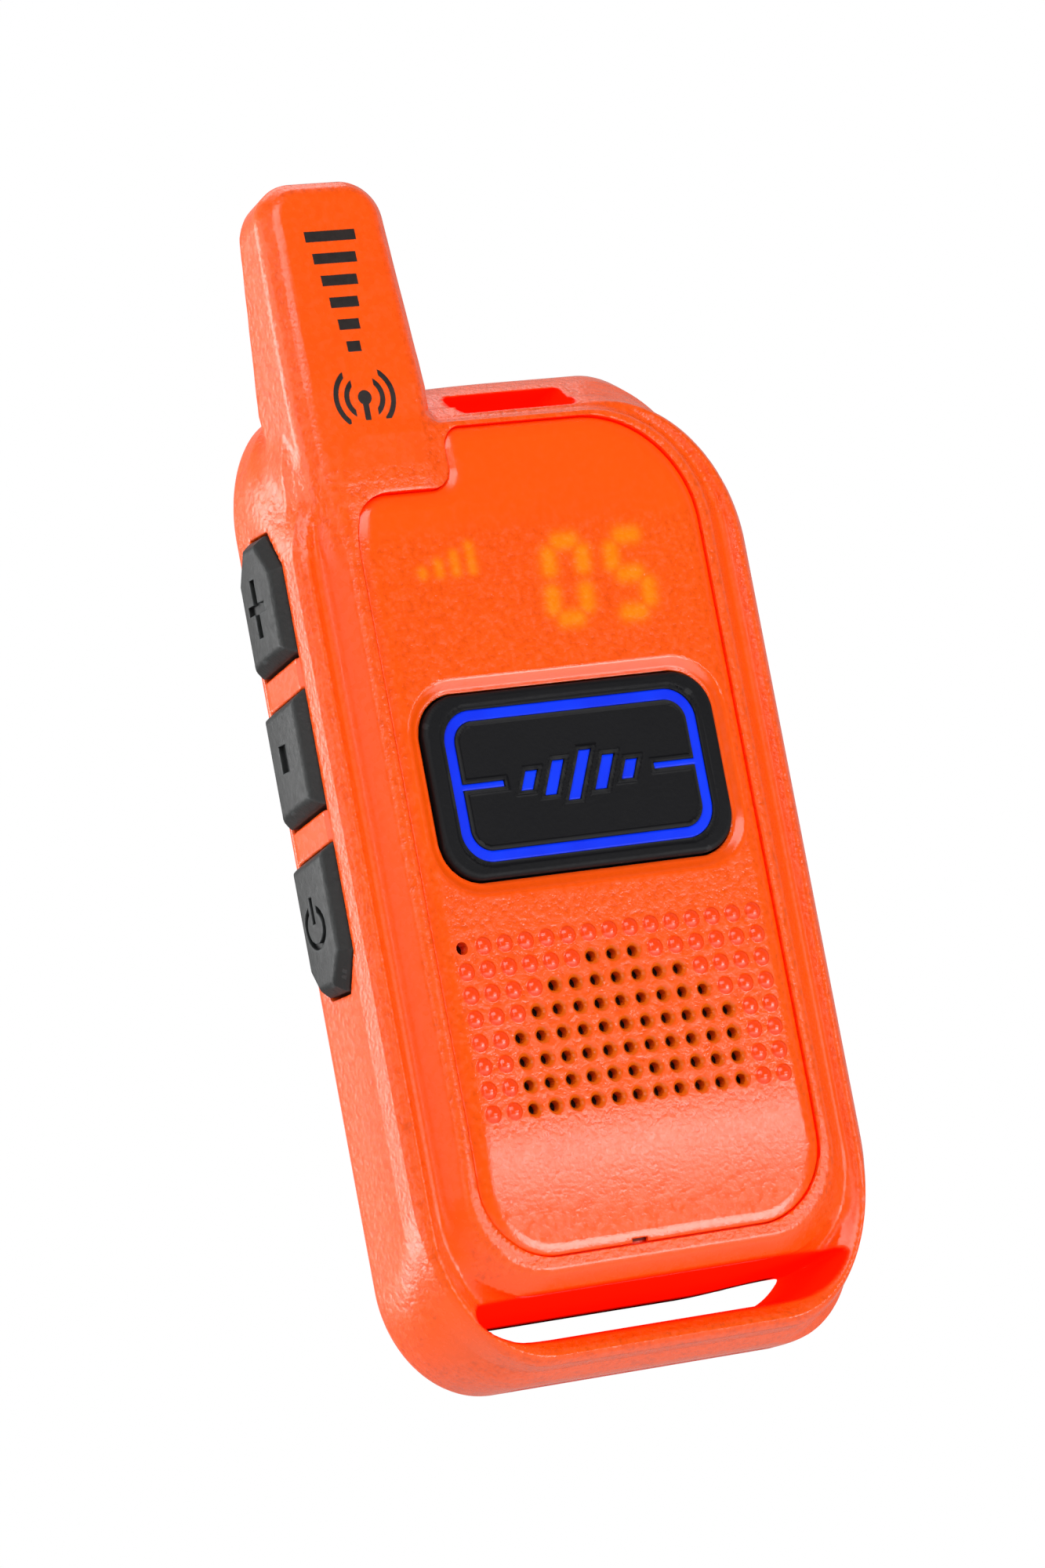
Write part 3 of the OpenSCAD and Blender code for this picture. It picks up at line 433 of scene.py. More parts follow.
def open_keys(body, x, y, z):
    """Side key opening, with two ribs left in it."""
    points = key_outline(KEY_BOTTOM[2], KEY_TOP[0], 0, True, True)
    body = cut(body, both(polygon(y, z, points), x + 22.6), 0.3)
    for low, high in zip(KEY_TOP[1:], KEY_BOTTOM):
        rib = polygon(y, z, [(-2.9, low), (-2.9, high), (5.9, high - KEY_SLANT),
                             (5.9, low - KEY_SLANT)])
        slope = (-x - 25.75 - (y + 1.5) * 0.6) * 0.857
        body = either(body, meet(rib, both(band(x, -25.75, -23.6), slope), 0.25))
    return body


def add_posts(body, x, y, z):
    """Bored screw posts, and webs from the lower ones to the walls."""
    side = np.abs(x)
    for post_x, post_z, front, _ in POSTS:
        body = either(body, both(disc(side, z, post_x, post_z, 2.0), band(y, front, 5.4)))
    for post_x, post_z, _, bore in POSTS:
        body = cut(body, both(disc(side, z, post_x, post_z, 0.95), band(y, bore, 7)))
    web = both(band(z, 14.5, 16.5), band(y, 0.4, 5.0), band(side, 17.5, 24.5))
    return either(body, web)


def housing(x, y, z):
    body = hollow_case(case_outside(x, y, z), x, y, z)
    body = add_posts(open_keys(body, x, y, z), x, y, z)
    body = cut(body, strap_opening(x, y, z), 0.5)
    body = cut(body, lanyard_slot(x, y, z), 0.22)
    # aerial bore, microphone seat, charging socket
    body = cut(body, both(disc(x, y, -AERIAL_X, -3.8, 2.75), band(z, 86, 116.4)))
    mic = disc(x, z, MIC_COLUMN * GRILLE_PITCH, GRILLE_Z, 2.35)
    body = cut(body, both(mic, band(y, -7.1, -3.7)))
    body = cut(body, both(rect(y, z, SIDE_Y, 66, 1.9, 4.9, 1.6), 23 - x), 0.15)
    return cut(body, both(rect(y, z, SIDE_Y, 64.5, 3.4, 9.4, 2.0), 24.7 - x), 0.25)


# ---------------------------------------------------------------- front plate
def grille(x, z):
    """Distance to the nearest dot centre, whether it is a hole, and whether the microphone's."""
    column = np.clip(np.round(x / GRILLE_PITCH), -7, 7)
    row = np.clip(np.round((GRILLE_Z - z) / GRILLE_PITCH), 0, 7)
    gap = np.hypot(x - column * GRILLE_PITCH, z - (GRILLE_Z - row * GRILLE_PITCH))
    hole = np.abs(column) <= HOLE_REACH[row.astype(int)]
    return gap, hole, (row == 0) & (column == MIC_COLUMN)


def basin(x, z):
    """Outline of the opening round the talk pad."""
    return pad_rect(x, z, 16.95, 9.7, 4.5)


def plate(x, y, z):
    panel = plate_outline(x, z)
    well = basin(x, z)
    front = FACE_Y + roll(z) + 0.62 * smooth((1.55 - well) / 1.35)
    solid = meet((front - y) * 0.93, panel - 0.1, 0.2)
    # soft bevel along the edge
    bevel = (front - y + 0.43 * panel + 0.6 - 0.42 * np.clip(roll(z), 0, 1)) * 0.92
    solid = meet(solid, bevel, 0.25)
    gap, hole, mic = grille(x, z)
    dome = np.sqrt(gap**2 + (y - (FACE_Y + 0.62)) ** 2) - 1.11
    dome = np.where(hole | mic, 1e3, both(dome, gap - 0.92))
    solid = both(join(solid, dome, 0.05), y + 6.9)
    sink = 0.4 * np.clip((FACE_Y + 0.5 - y) / 0.5, 0, 1) ** 1.3
    bore = np.where(hole, gap - 0.55 - sink, 1e3)
    bore = np.where(mic, gap - 0.65, bore)
    solid = cut(both(solid, -bore), well, 0.12)
    notch = both(np.abs(x + 2.5) - 0.9, band(z, 9, 11.4), -7.7 - y)
    return cut(solid, notch, 0.06)


# ---------------------------------------------------------------- talk pad
def pegs(x, z, radius):
    """The light guide's four pegs, seen from the front."""
    return either(*[disc(x, z, side * 13.9, PAD_Z + end * 3.5, radius)
                    for side in (-1, 1) for end in (-1, 1)])


def inlay_outline(x, z):
    """Frame, a line at either side and five leaning bars."""
    ring = both(pad_rect(x, z, 14.5, 7.75, 3.3), -pad_rect(x, z, 13.4, 6.65, 2.3))
    lines = both(np.abs(z - PAD_Z) - 0.3, band(np.abs(x), 8.7, 13.8))
    bars = []
    for i in range(-2, 3):
        length = 4.9 - 1.5 * abs(i)
        across, up = x - 2.9 * i - 0.44 * (z - PAD_Z), z - PAD_Z
        bars.append(both(np.abs(across) * 0.915 - 0.6, np.abs(up) - length / 2))
    return either(ring, lines, *bars)


def pad(x, y, z):
    top = -8.83 + 0.05 * np.hypot(x / 16.7, (z - PAD_Z) / 9.45) ** 4
    solid = meet(pad_rect(x, z, 16.7, 9.45, 4.2), top - y, 0.55)
    field = pad_rect(x, z, 15.0, 8.25, 3.7)
    solid = cut(solid, meet(field, y + 8.56, 0.12), 0.16)
    flange = both(pad_rect(x, z, 17.6, 10.35, 4.6), band(y, -6.8, -6.2))
    solid = both(join(solid, flange, 0.1), y + 6.2)
    nub = both(disc(x, z, 0, PAD_Z, 2.0), band(y, -6.4, -4.52))
    solid = join(solid, nub, 0.3)
    # raised lips along the inlay, and its groove
    gap = inlay_outline(x, z)
    lip = both(np.abs(gap - 0.28) - 0.2, band(y, -8.66, -8.4))
    solid = join(solid, lip, 0.1)
    solid = cut(solid, both(gap - 0.03, y + 7.6), 0.06)
    solid = cut(solid, both(pad_rect(x, z, 14.0, 0.36, 0.1), band(y, -7.76, -7.14)))
    return cut(solid, both(pegs(x, z, 0.46), -8.0 - y))


def inlay(x, y, z):
    solid = meet(inlay_outline(x, z), band(y, -8.49, -7.64), 0.08)
    runner = both(pad_rect(x, z, 13.9, 0.3, 0.1), band(y, -7.7, -7.2))
    return either(solid, runner, both(pegs(x, z, 0.42), band(y, -8.0, -3.8)))


# ---------------------------------------------------------------- side keys
def plus_mark(y, z):
    return either(bar(y, z, SIDE_Y, 80.4, 1.8, 0.5), bar(y, z, SIDE_Y, 80.4, 0.5, 3.0))


def minus_mark(y, z):
    return bar(y, z, SIDE_Y, 64.9, 0.8, 1.4)


def power_mark(y, z):
    """Ring open at the top with a stem in the gap."""
    ring = np.abs(disc(y, z, SIDE_Y, 47.6, 1.95)) - 0.32
    ring = cut(ring, both(np.abs(y - SIDE_Y) - 0.85, 47.6 - z))
    return either(ring, bar(y, z, SIDE_Y, 49.3, 0.32, 1.35))


def key(i, mark):
    """Shape of key i, its sign engraved."""
    def profile(y, z, inset):
        points = key_outline(KEY_BOTTOM[i], KEY_TOP[i], inset, top=i == 0, bottom=i == 2)
        return polygon(y, z, points)

    def shape(x, y, z):
        edge = profile(y, z, 0.14)
        proud = -x - 26.0
        solid = meet(edge + 0.02, x + 23.9, 0.1)
        solid = meet(solid, proud - 1.45 + 0.012 * (y - SIDE_Y) ** 2, 0.35)
        solid = meet(solid, (edge + 0.7 * both(proud, 0) + 0.08) * 0.8, 0.35)
        solid = cut(solid, both(mark(y, z), 0.92 - proud), 0.08)
        flange = both(profile(y, z, -0.65), band(y, -3.5, 5.6), band(x, -23.92, -23.2))
        nub = both(disc(y, z, SIDE_Y, KEY_MIDDLE[i], 1.4), band(x, -23.3, -22.83))
        return either(solid, flange, nub)
    return shape


# ---------------------------------------------------------------- rear cover, clip, flap
def cover(x, y, z):
    edge = outline(x, z, 23.25, 10.45, 94.8, 12.2, 16.2, 8.8, 8.8)
    solid = meet(edge, band(y, 6.5, 8.0), 0.35)
    for side in (-1, 1):
        for post_x, post_z, _, _ in POSTS:
            boss = both(disc(x, z, side * post_x, post_z, 2.5), band(y, 5.45, 7.0))
            solid = join(solid, boss, 0.2)
        foot = both(np.abs(z - HINGE_Z) - 2.2, band(y, 7.2, HINGE_Y))
        lug = either(disc(y, z, HINGE_Y, HINGE_Z, 2.2), foot)
        solid = join(solid, meet(lug, np.abs(x - side * 9.1) - 1.1, 0.35), 0.6)
    # four round-ended ribs across the foot
    for i in range(4):
        rib = disc(both(np.abs(x) - 11.4, 0), z - 20.6, 0, 3 * i, 0.6)
        rib = meet(rib, y - 8.4, 0.3)
        solid = join(solid, both(rib, 7.0 - y), 0.15)
    # groove in the shape of a frame behind the clip's arm
    frame_line = np.abs(rect(x, z, 0, 58.5, 9.6, 29.5, 4.0)) - 0.28
    solid = cut(solid, both(frame_line, 7.78 - y), 0.12)
    # screw holes, counterbored
    for side in (-1, 1):
        for post_x, post_z, _, _ in POSTS:
            gap = disc(x, z, side * post_x, post_z, 0)
            solid = cut(solid, gap - 1.05)
            solid = cut(solid, both(gap - 1.95, 6.7 - y), 0.2)
    return cut(solid, both(disc(y, z, HINGE_Y, HINGE_Z, 1.02), band(x, -12, 12)))


# Side view of the clip: y, z
CLIP = [(9.8, 80.4), (9.9, 44.0), (9.4, 42.0), (8.4, 40.5), (8.25, 39.0), (9.3, 36.6),
        (10.6, 36.0), (11.5, 37.2), (11.9, 42.0), (12.0, 74.0), (12.6, 80.0), (13.1, 83.0),
        (13.1, 90.4), (12.5, 91.0), (11.7, 90.4), (11.3, 85.0), (10.8, 83.6)]


def clip(x, y, z):
    knuckle = disc(y, z, HINGE_Y, HINGE_Z, 2.15)
    side = join(polygon(y, z, CLIP) + 0.05, knuckle, 0.4)
    half = 7.85 - 1.2 * np.clip((46 - z) / 10, 0, 1) ** 2
    ends = rect(x, z, 0, 63.5, 7.85, 27.5, 2.6)
    ends = np.where(np.abs(z - 63.5) > 20, ends, -9.0)
    solid = meet(side, both(np.abs(x) - half, ends), 0.45)
    solid = cut(solid, rect(x, z, 0, 58, 3.0, 11.0, 2.9), 0.5)
    # three thumb grooves above the hinge
    grooves = either(*[disc(y, z - 85.4, 13.25, 1.7 * i, 0.42) for i in range(3)])
    solid = cut(solid, both(grooves, np.abs(x) - 5.6), 0.1)
    gap = both(np.abs(x) - 2.7, np.abs(z - HINGE_Z) - 3, band(y, 8, 16))
    solid = cut(solid, gap, 0.1)
    return cut(solid, disc(y, z, HINGE_Y, HINGE_Z, 1.06))


def flap(x, y, z):
    side = np.abs(y - SIDE_Y)
    edge = rect(y, z, SIDE_Y, 65.35, 3.25, 8.4, 1.9)
    solid = meet(edge, band(x, 24.8, 25.95), 0.25)
    plug = cut(rect(y, z, SIDE_Y, 66, 1.55, 4.3, 1.3), rect(y, z, SIDE_Y, 66, 0.8, 3.5, 0.7))
    solid = join(solid, meet(plug, band(x, 24.05, 25.0), 0.2), 0.1)
    neck = meet(both(side - 1.8, band(z, 55.85, 58.3)), band(x, 25.0, 25.9), 0.2)
    solid = join(solid, neck, 0.15)
    solid = either(solid, meet(disc(x, z, 25.3, 55.85, 0.55), side - 1.9, 0.12))
    bead = meet(rect(y, z, SIDE_Y, 72.3, 2.0, 0.5, 0.49), band(x, 25.5, 26.34), 0.25)
    solid = join(solid, bead, 0.2)
    return cut(solid, both(np.abs(edge + 0.85) - 0.12, 25.84 - x), 0.06)


# ---------------------------------------------------------------- materials
MATERIALS = {}


class Graph:
    """Node tree of a material or world, with short ways to add to it."""

    def __init__(self, owner, output):
        owner.use_nodes = True
        self.tree = owner.node_tree
        self.tree.nodes.clear()
        self.output = self.add(output)

    def feed(self, socket, value):
        """Link a socket to an output, or set its value."""
        if isinstance(value, bpy.types.NodeSocket):
            self.tree.links.new(value, socket)
        else:
            socket.default_value = (*value, 1) if socket.type == "RGBA" else value

    def set(self, node, **inputs):
        """Feed inputs by name, with underscores for spaces."""
        for name, value in inputs.items():
            self.feed(node.inputs[name.replace("_", " ")], value)

    def add(self, kind, **inputs):
        node = self.tree.nodes.new("ShaderNode" + kind)
        self.set(node, **inputs)
        return node

    def maths(self, operation, first, second, clamp=False):
        node = self.add("Math")
        node.operation = operation
        node.use_clamp = clamp
        self.feed(node.inputs[0], first)
        self.feed(node.inputs[1], second)
        return node.outputs[0]

    def plus(self, first, second):
        return self.maths("ADD", first, second)

    def minus(self, first, second):
        return self.maths("SUBTRACT", first, second)

    def times(self, first, second, clamp=False):
        return self.maths("MULTIPLY", first, second, clamp)

    def noise(self, vector, scale, detail, rough):
        node = self.add("TexNoise", Detail=detail, Roughness=rough, Scale=scale, Vector=vector)
        return node.outputs["Fac"]

    def ramp(self, value, start, end, to=(0.0, 1.0)):
        """Value from start..end mapped to the range `to`, clamped."""
        node = self.add("MapRange", From_Min=start, From_Max=end, To_Min=to[0], To_Max=to[1],
                        Value=value)
        return node.outputs["Result"]

    def mix(self, factor, first, second):
        """Mix of two colours."""
        node = self.add("Mix")
        node.data_type = "RGBA"
        for i, value in ((0, factor), (6, first), (7, second)):
            self.feed(node.inputs[i], value)
        return node.outputs[2]

    def blend(self, factor, first, second):
        """Mix of the shaders of two nodes."""
        node = self.add("MixShader")
        self.feed(node.inputs[0], factor)
        self.feed(node.inputs[1], first.outputs[0])
        self.feed(node.inputs[2], second.outputs[0])
        return node

    def bump(self, height, distance, strength=1.0):
        node = self.add("Bump", Distance=distance, Strength=strength, Height=height)
        return node.outputs["Normal"]

    def attribute(self, name):
        node = self.add("Attribute")
        node.attribute_name = name
        return node.outputs["Fac"]


def surface(name):
    """A new material's graph, principled node and object coordinates."""
    MATERIALS[name] = bpy.data.materials.new(name)
    graph = Graph(MATERIALS[name], "OutputMaterial")
    skin = graph.add("BsdfPrincipled")
    graph.set(graph.output, Surface=skin.outputs["BSDF"])
    return graph, skin, graph.add("TexCoord").outputs["Object"]


def moulded(name, colour, mottle, rough, grain, depth, specular=0.5, edge=None, coat=0.0,
            grain_shade=0.0, masked=False, inner=False, light=None):
    """Moulded plastic or rubber: eroded grain, slight mottling, rubbed edges.

    grain is the scale of the texture and depth its height in metres; masked lets the
    "grain" attribute fade it. inner and light switch on the case's and plate's attributes.
    """
    graph, skin, coords = surface(name)
    fine = graph.noise(coords, grain, detail=2.5, rough=0.6)
    coarse = graph.noise(coords, grain * 0.6, detail=1.5, rough=0.5)
    cloud = graph.noise(coords, 42.0, detail=3.0, rough=0.6)
    height = graph.plus(graph.times(fine, 0.6), graph.times(coarse, 0.4))
    strength, grain_shade_amount = 1.0, grain_shade
    if masked:
        strength = graph.ramp(graph.attribute("grain"), 0.0, 1.0, to=(0.06, 1.0))
        grain_shade_amount = graph.times(strength, grain_shade)
    base = graph.mix(graph.ramp(cloud, 0.35, 0.65), colour, mottle)
    # painted shade and highlight: pits of the grain are darker, its peaks paler
    pit = tuple(0.62 * v for v in mottle)
    peak = tuple(min(1.0, 1.05 * v + 0.03) for v in colour)
    low = graph.ramp(height, 0.36, 0.5, to=(1.0, 0.0))
    base = graph.mix(graph.times(low, grain_shade_amount), base, pit)
    base = graph.mix(graph.times(graph.ramp(height, 0.52, 0.64), grain_shade_amount), base, peak)
    if edge:
        ridge = graph.add("NewGeometry").outputs["Pointiness"]
        base = graph.mix(graph.ramp(ridge, 0.515, 0.56, to=(0.0, 0.6)), base, edge)
    sheen = graph.plus(rough, graph.times(graph.minus(coarse, 0.5), 0.22))
    sheen = graph.plus(sheen, graph.times(graph.minus(cloud, 0.5), 0.08))
    graph.set(skin, Normal=graph.bump(height, depth, strength), Roughness=sheen,
              Specular_IOR_Level=specular, Coat_Weight=coat)
    if inner:
        # walls of the openings: painted deep red and a painted red glow for the light bounced
        # inside them, hardly any sheen, a painted shadow at the very back
        wall = graph.attribute("inner")
        base = graph.mix(wall, base, (0.86, 0.012, 0.0008))
        # painted shadow: near black at the back of the strap opening's ceiling
        base = graph.mix(graph.attribute("painted_shadow"), base, (0.016, 0.003, 0.002))
        wall_glow = graph.times(wall, graph.minus(1.0, graph.attribute("painted_shadow")))
        graph.set(skin, Specular_IOR_Level=graph.ramp(wall, 0.0, 1.0, to=(specular, 0.0)),
                  Emission_Color=(0.5, 0.004, 0.0), Emission_Strength=graph.times(wall_glow, 0.55))
    if light:
        shine = graph.attribute("glow")
        base = graph.mix(graph.times(shine, 0.8, clamp=True), base, (1.0, 0.12, 0.0))
        # painted shade: raised dots a deeper red; painted light and shade: countersinks more
        # yellow, as their walls catch the light
        base = graph.mix(graph.attribute("dots"), base, (0.93, 0.05, 0.005))
        base = graph.mix(graph.attribute("sinks"), base, (0.74, 0.13, 0.002))
        speck = graph.ramp(coarse, 0.3, 0.7, to=(0.85, 1.12))
        graph.set(skin, Emission_Color=graph.mix(0.0, light, light),
                  Emission_Strength=graph.times(shine, speck))
    graph.set(skin, Base_Color=base)


def metal(name, colour, tarnish, rough, scale=(900, 900, 9000)):
    """Metal with drawn or brushed lines, stretched by the scale, and faint tarnish."""
    graph, skin, coords = surface(name)
    stretched = graph.add("Mapping", Scale=scale, Vector=coords).outputs["Vector"]
    lines = graph.noise(stretched, 1.0, detail=3.0, rough=0.6)
    blot = graph.noise(coords, 220.0, detail=4.0, rough=0.6)
    graph.set(skin, Base_Color=graph.mix(graph.ramp(blot, 0.35, 0.7), colour, tarnish),
              Metallic=1.0, Roughness=graph.plus(rough, graph.times(lines, 0.18)),
              Normal=graph.bump(lines, 4e-6))


def board(name):
    """Solder mask with traces and copper pads under it."""
    graph, skin, coords = surface(name)
    turned = graph.add("Mapping", Rotation=(math.radians(90), 0, 0), Vector=coords)
    bricks = graph.add("TexBrick", Vector=turned.outputs["Vector"], Scale=260.0,
                       Mortar_Size=0.05, Color1=(0.006, 0.10, 0.035),
                       Color2=(0.010, 0.14, 0.05), Mortar=(0.03, 0.26, 0.10))
    cells = graph.add("TexVoronoi", Scale=520.0, Vector=coords)
    cells.feature = "SMOOTH_F1"
    copper = graph.ramp(cells.outputs["Distance"], 0.10, 0.13, to=(1.0, 0.0))
    graph.set(skin, Base_Color=graph.mix(copper, bricks.outputs["Color"], (0.75, 0.55, 0.28)),
              Metallic=graph.times(copper, 0.8), Roughness=0.32,
              Normal=graph.bump(bricks.outputs["Fac"], 2e-5))


def woven(name, colour, shade):
    graph, skin, coords = surface(name)
    threads = []
    for axis in "XZ":
        wave = graph.add("TexWave", Scale=900.0, Distortion=0.4, Vector=coords)
        wave.bands_direction = axis
        threads.append(wave.outputs["Fac"])
    height = graph.times(*threads)
    graph.set(skin, Base_Color=graph.mix(height, shade, colour), Roughness=0.85,
              Normal=graph.bump(height, 4e-5))


def lit(name, colour, core, power, rough):
    """Translucent plastic lit from behind, a little uneven."""
    graph, skin, coords = surface(name)
    cloud = graph.noise(coords, 160.0, detail=2.0, rough=0.5)
    grain = graph.noise(coords, 2400.0, detail=2.0, rough=0.5)
    base = graph.mix(graph.ramp(cloud, 0.3, 0.7), colour, core)
    graph.set(skin, Base_Color=base, Emission_Color=base,
              Emission_Strength=graph.ramp(cloud, 0.2, 0.8, to=(power * 0.8, power * 1.15)),
              Roughness=graph.plus(rough, graph.times(grain, 0.1)),
              Specular_IOR_Level=0.15, Normal=graph.bump(grain, 6e-6))


ORANGE = dict(colour=(0.97, 0.094, 0.0025), mottle=(0.94, 0.084, 0.002))
COPPER = dict(colour=(0.75, 0.28, 0.11), tarnish=(0.5, 0.16, 0.05), rough=0.28)

moulded("housing_orange", **ORANGE, rough=0.27, grain=2000.0, depth=1.2e-4, grain_shade=0.45,
        masked=True, inner=True)
moulded("plate_orange", **ORANGE, rough=0.19, grain=2200.0, depth=6.0e-5, grain_shade=0.4,
        masked=True, light=(0.27, 0.115, 0.0))
moulded("cover_orange", **ORANGE, rough=0.32, grain=1700.0, depth=1.5e-4)
moulded("clip_orange", **ORANGE, rough=0.32, grain=1700.0, depth=1.3e-4)
moulded("pad_rubber", (0.006, 0.006, 0.007), (0.004, 0.004, 0.005), rough=0.55, grain=2600.0,
        depth=3.5e-5, specular=0.12, edge=(0.03, 0.03, 0.031))
for rubber in ("key_rubber", "flap_rubber"):
    moulded(rubber, (0.018, 0.019, 0.019), (0.010, 0.011, 0.011), rough=0.52, grain=2200.0,
            depth=9.0e-5, specular=0.33, edge=(0.05, 0.055, 0.057))
moulded("print_black", (0.012, 0.010, 0.010), (0.02, 0.012, 0.01), rough=0.42, grain=2300.0,
        depth=2.5e-5, specular=0.4)
lit("inlay_blue", (0.0, 0.018, 0.62), (0.0, 0.030, 0.70), power=0.32, rough=0.35)
moulded("seal_rubber", (0.16, 0.012, 0.003), (0.10, 0.007, 0.002), rough=0.6, grain=1800.0,
        depth=2e-5, specular=0.3)
moulded("foam_black", (0.03, 0.03, 0.03), (0.01, 0.01, 0.01), rough=0.9, grain=900.0,
        depth=1.5e-4, specular=0.2)
woven("cloth_black", (0.03, 0.03, 0.03), (0.006, 0.006, 0.006))
metal("steel", (0.62, 0.62, 0.63), (0.45, 0.45, 0.46), rough=0.22)
metal("spring_steel", (0.5, 0.5, 0.52), (0.34, 0.34, 0.36), rough=0.25, scale=(9000, 900, 900))
metal("tin_plate", (0.72, 0.72, 0.70), (0.55, 0.55, 0.53), rough=0.3, scale=(2500, 2500, 400))
metal("socket_steel", (0.66, 0.66, 0.67), (0.5, 0.5, 0.5), rough=0.25)
board("board_green")
moulded("chip_black", (0.012, 0.012, 0.014), (0.02, 0.02, 0.02), rough=0.5, grain=3000.0,
        depth=8e-6, specular=0.4)
moulded("switch_black", (0.02, 0.02, 0.022), (0.012, 0.012, 0.013), rough=0.45, grain=2400.0,
        depth=8e-6, specular=0.4)
moulded("plunger_ivory", (0.70, 0.64, 0.48), (0.62, 0.56, 0.41), rough=0.45, grain=1800.0,
        depth=8e-6, specular=0.45)
lit("lamp_white", (0.85, 0.9, 0.95), (0.75, 0.85, 0.95), power=0.4, rough=0.15)
moulded("display_white", (0.76, 0.76, 0.72), (0.66, 0.66, 0.62), rough=0.5, grain=1800.0,
        depth=1e-5, specular=0.4)
lit("segment_amber", (1.0, 0.36, 0.02), (1.0, 0.45, 0.04), power=1.2, rough=0.25)
lit("lamp_amber", (0.95, 0.7, 0.3), (0.95, 0.78, 0.42), power=0.8, rough=0.15)
metal("basket_steel", (0.16, 0.16, 0.165), (0.10, 0.10, 0.105), rough=0.4,
      scale=(1400, 1400, 1400))
metal("magnet_steel", (0.6, 0.6, 0.62), (0.42, 0.42, 0.44), rough=0.26, scale=(3000, 300, 3000))
moulded("cone_paper", (0.03, 0.03, 0.034), (0.015, 0.015, 0.017), rough=0.7, grain=1400.0,
        depth=3e-5, specular=0.3)
metal("coil_copper", **COPPER, scale=(400, 9000, 400))
metal("aerial_copper", **COPPER, scale=(400, 400, 9000))
moulded("former_white", (0.72, 0.72, 0.68), (0.62, 0.62, 0.58), rough=0.5, grain=1600.0,
        depth=1e-5, specular=0.4)
metal("feed_gold", (0.85, 0.55, 0.16), (0.7, 0.42, 0.1), rough=0.25, scale=(2500, 600, 2500))
metal("mic_can", (0.75, 0.75, 0.76), (0.6, 0.6, 0.61), rough=0.28, scale=(2500, 400, 2500))
moulded("cell_wrap", (0.05, 0.13, 0.26), (0.035, 0.10, 0.21), rough=0.3, grain=700.0,
        depth=1.2e-5, coat=0.4)
for wire in ("wire_red", "lead_red"):
    moulded(wire, (0.42, 0.012, 0.008), (0.3, 0.008, 0.006), rough=0.4, grain=1500.0,
            depth=8e-6, specular=0.45)

for row in frame["record"]["subparts"]:
    ob = frame["nodes"].get(row["node"])
    if ob is None:
        continue
    ob.data.materials.clear()
    slot_name = row.get("material_slot") or ""
    ob.data.materials.append(MATERIALS.get(slot_name, MATERIALS["switch_black"]))


# ---------------------------------------------------------------- surface attributes
# Digits of the display: middle in x, lit segments
DIGIT_Z = 78.4
DIGITS = ((2.9, "abcdef"), (10.2, "afgcd"))
# Ends of each segment from the digit's middle: x, z, x, z
SEGMENTS = {"a": (-0.75, 4, 0.75, 4), "b": (1.95, 2.75, 1.95, 1.25),
            "c": (1.95, -1.25, 1.95, -2.75), "d": (-0.75, -4, 0.75, -4),
            "e": (-1.95, -1.25, -1.95, -2.75), "f": (-1.95, 2.75, -1.95, 1.25),
            "g": (-0.75, 0, 0.75, 0)}


def stroke(x, z, start_x, start_z, end_x, end_z):
    """Distance to a straight line."""
    run_x, run_z = end_x - start_x, end_z - start_z
    along = (x - start_x) * run_x + (z - start_z) * run_z
    along = np.clip(along / (run_x * run_x + run_z * run_z), 0, 1)
    return np.hypot(x - start_x - run_x * along, z - start_z - run_z * along)


def glow(x, y, z):
    """Light of the display that comes through the plate: two digits and four level bars."""
    lean = 0.09 * (z - DIGIT_Z)
    light = np.zeros(np.shape(x))
    for mid_x, segments in DIGITS:
        for name in segments:
            start_x, start_z, end_x, end_z = SEGMENTS[name]
            gap = stroke(x - lean, z, mid_x + start_x, DIGIT_Z + start_z,
                         mid_x + end_x, DIGIT_Z + end_z)
            light = np.maximum(light, np.exp(-(both(gap - 0.1, 0) / 0.88) ** 2))
    for i in range(4):
        bar_x = -13.35 + 1.9 * i
        gap = stroke(x, z, bar_x, 80.35, bar_x, 80.6 + 0.75 * i)
        light = np.maximum(light, 0.8 * np.exp(-(both(gap - 0.05, 0) / 0.55) ** 2))
    return light * (y < -7.3)


def plate_dots(x, y, z):
    """Raised dots of the grille, where painted shade deepens the colour."""
    gap, hole, mic = grille(x, z)
    return 0.8 * smooth((1.0 - gap) / 0.16) * ~(hole | mic)


def plate_sinks(x, y, z):
    """Countersinks of the grille's holes, where painted light and shade make them more yellow.
    """
    gap, hole, _ = grille(x, z)
    return 0.85 * hole * (gap < 1.0) * smooth((y + 8.49) / 0.08)


def plate_grain(x, y, z):
    """The plate is smooth above the display, in the basin, and on dots and holes."""
    grain = 0.12 + 0.88 * smooth((85.4 - z) / 2.0) - 0.35 * smooth((23.5 - z) / 2.0)
    gap, _, _ = grille(x, z)
    grain = grain * (0.1 + 0.9 * smooth((gap - 0.95) / 0.15))
    return grain * (0.15 + 0.85 * smooth((basin(x, z) - 0.9) / 1.2))


def case_grain(x, y, z):
    """Coarse grain outside, smooth walls in the valley and on the ribs."""
    side = np.abs(x)
    valley = (side < 24.1) & (side > 21.1) & (y < -3.5) & (z < 84)
    low = (z < 9.7) & (side < 24.0) & (z > 2.4) & (y < 3)
    rib = (x < -25.4) & (y > -2.6) & (y < 5.9) & (z > 55.3) & (z < 75)
    mast = (z > 92) & (y < -7.0) & (np.abs(x + AERIAL_X) < 5.8)
    return np.where(valley | low | rib, 0.12, np.where(mast, 0.3, 1.0))


def case_inner(x, y, z):
    """Walls of the strap opening, of the slot and of the plate's recess, where a deep red and a
    red glow are painted in.
    """
    strap = smooth((0.42 - strap_opening(x, y, z)) / 0.3)
    slot = smooth((0.2 - lanyard_slot(x, y, z)) / 0.15) * (z > 90)
    recess = (np.abs(plate_outline(x, z) - 0.2) < 0.3) & (y > -8.2 + roll(z) * 0.75)
    return both(strap, slot, np.where(recess, 1.0, 0.0))


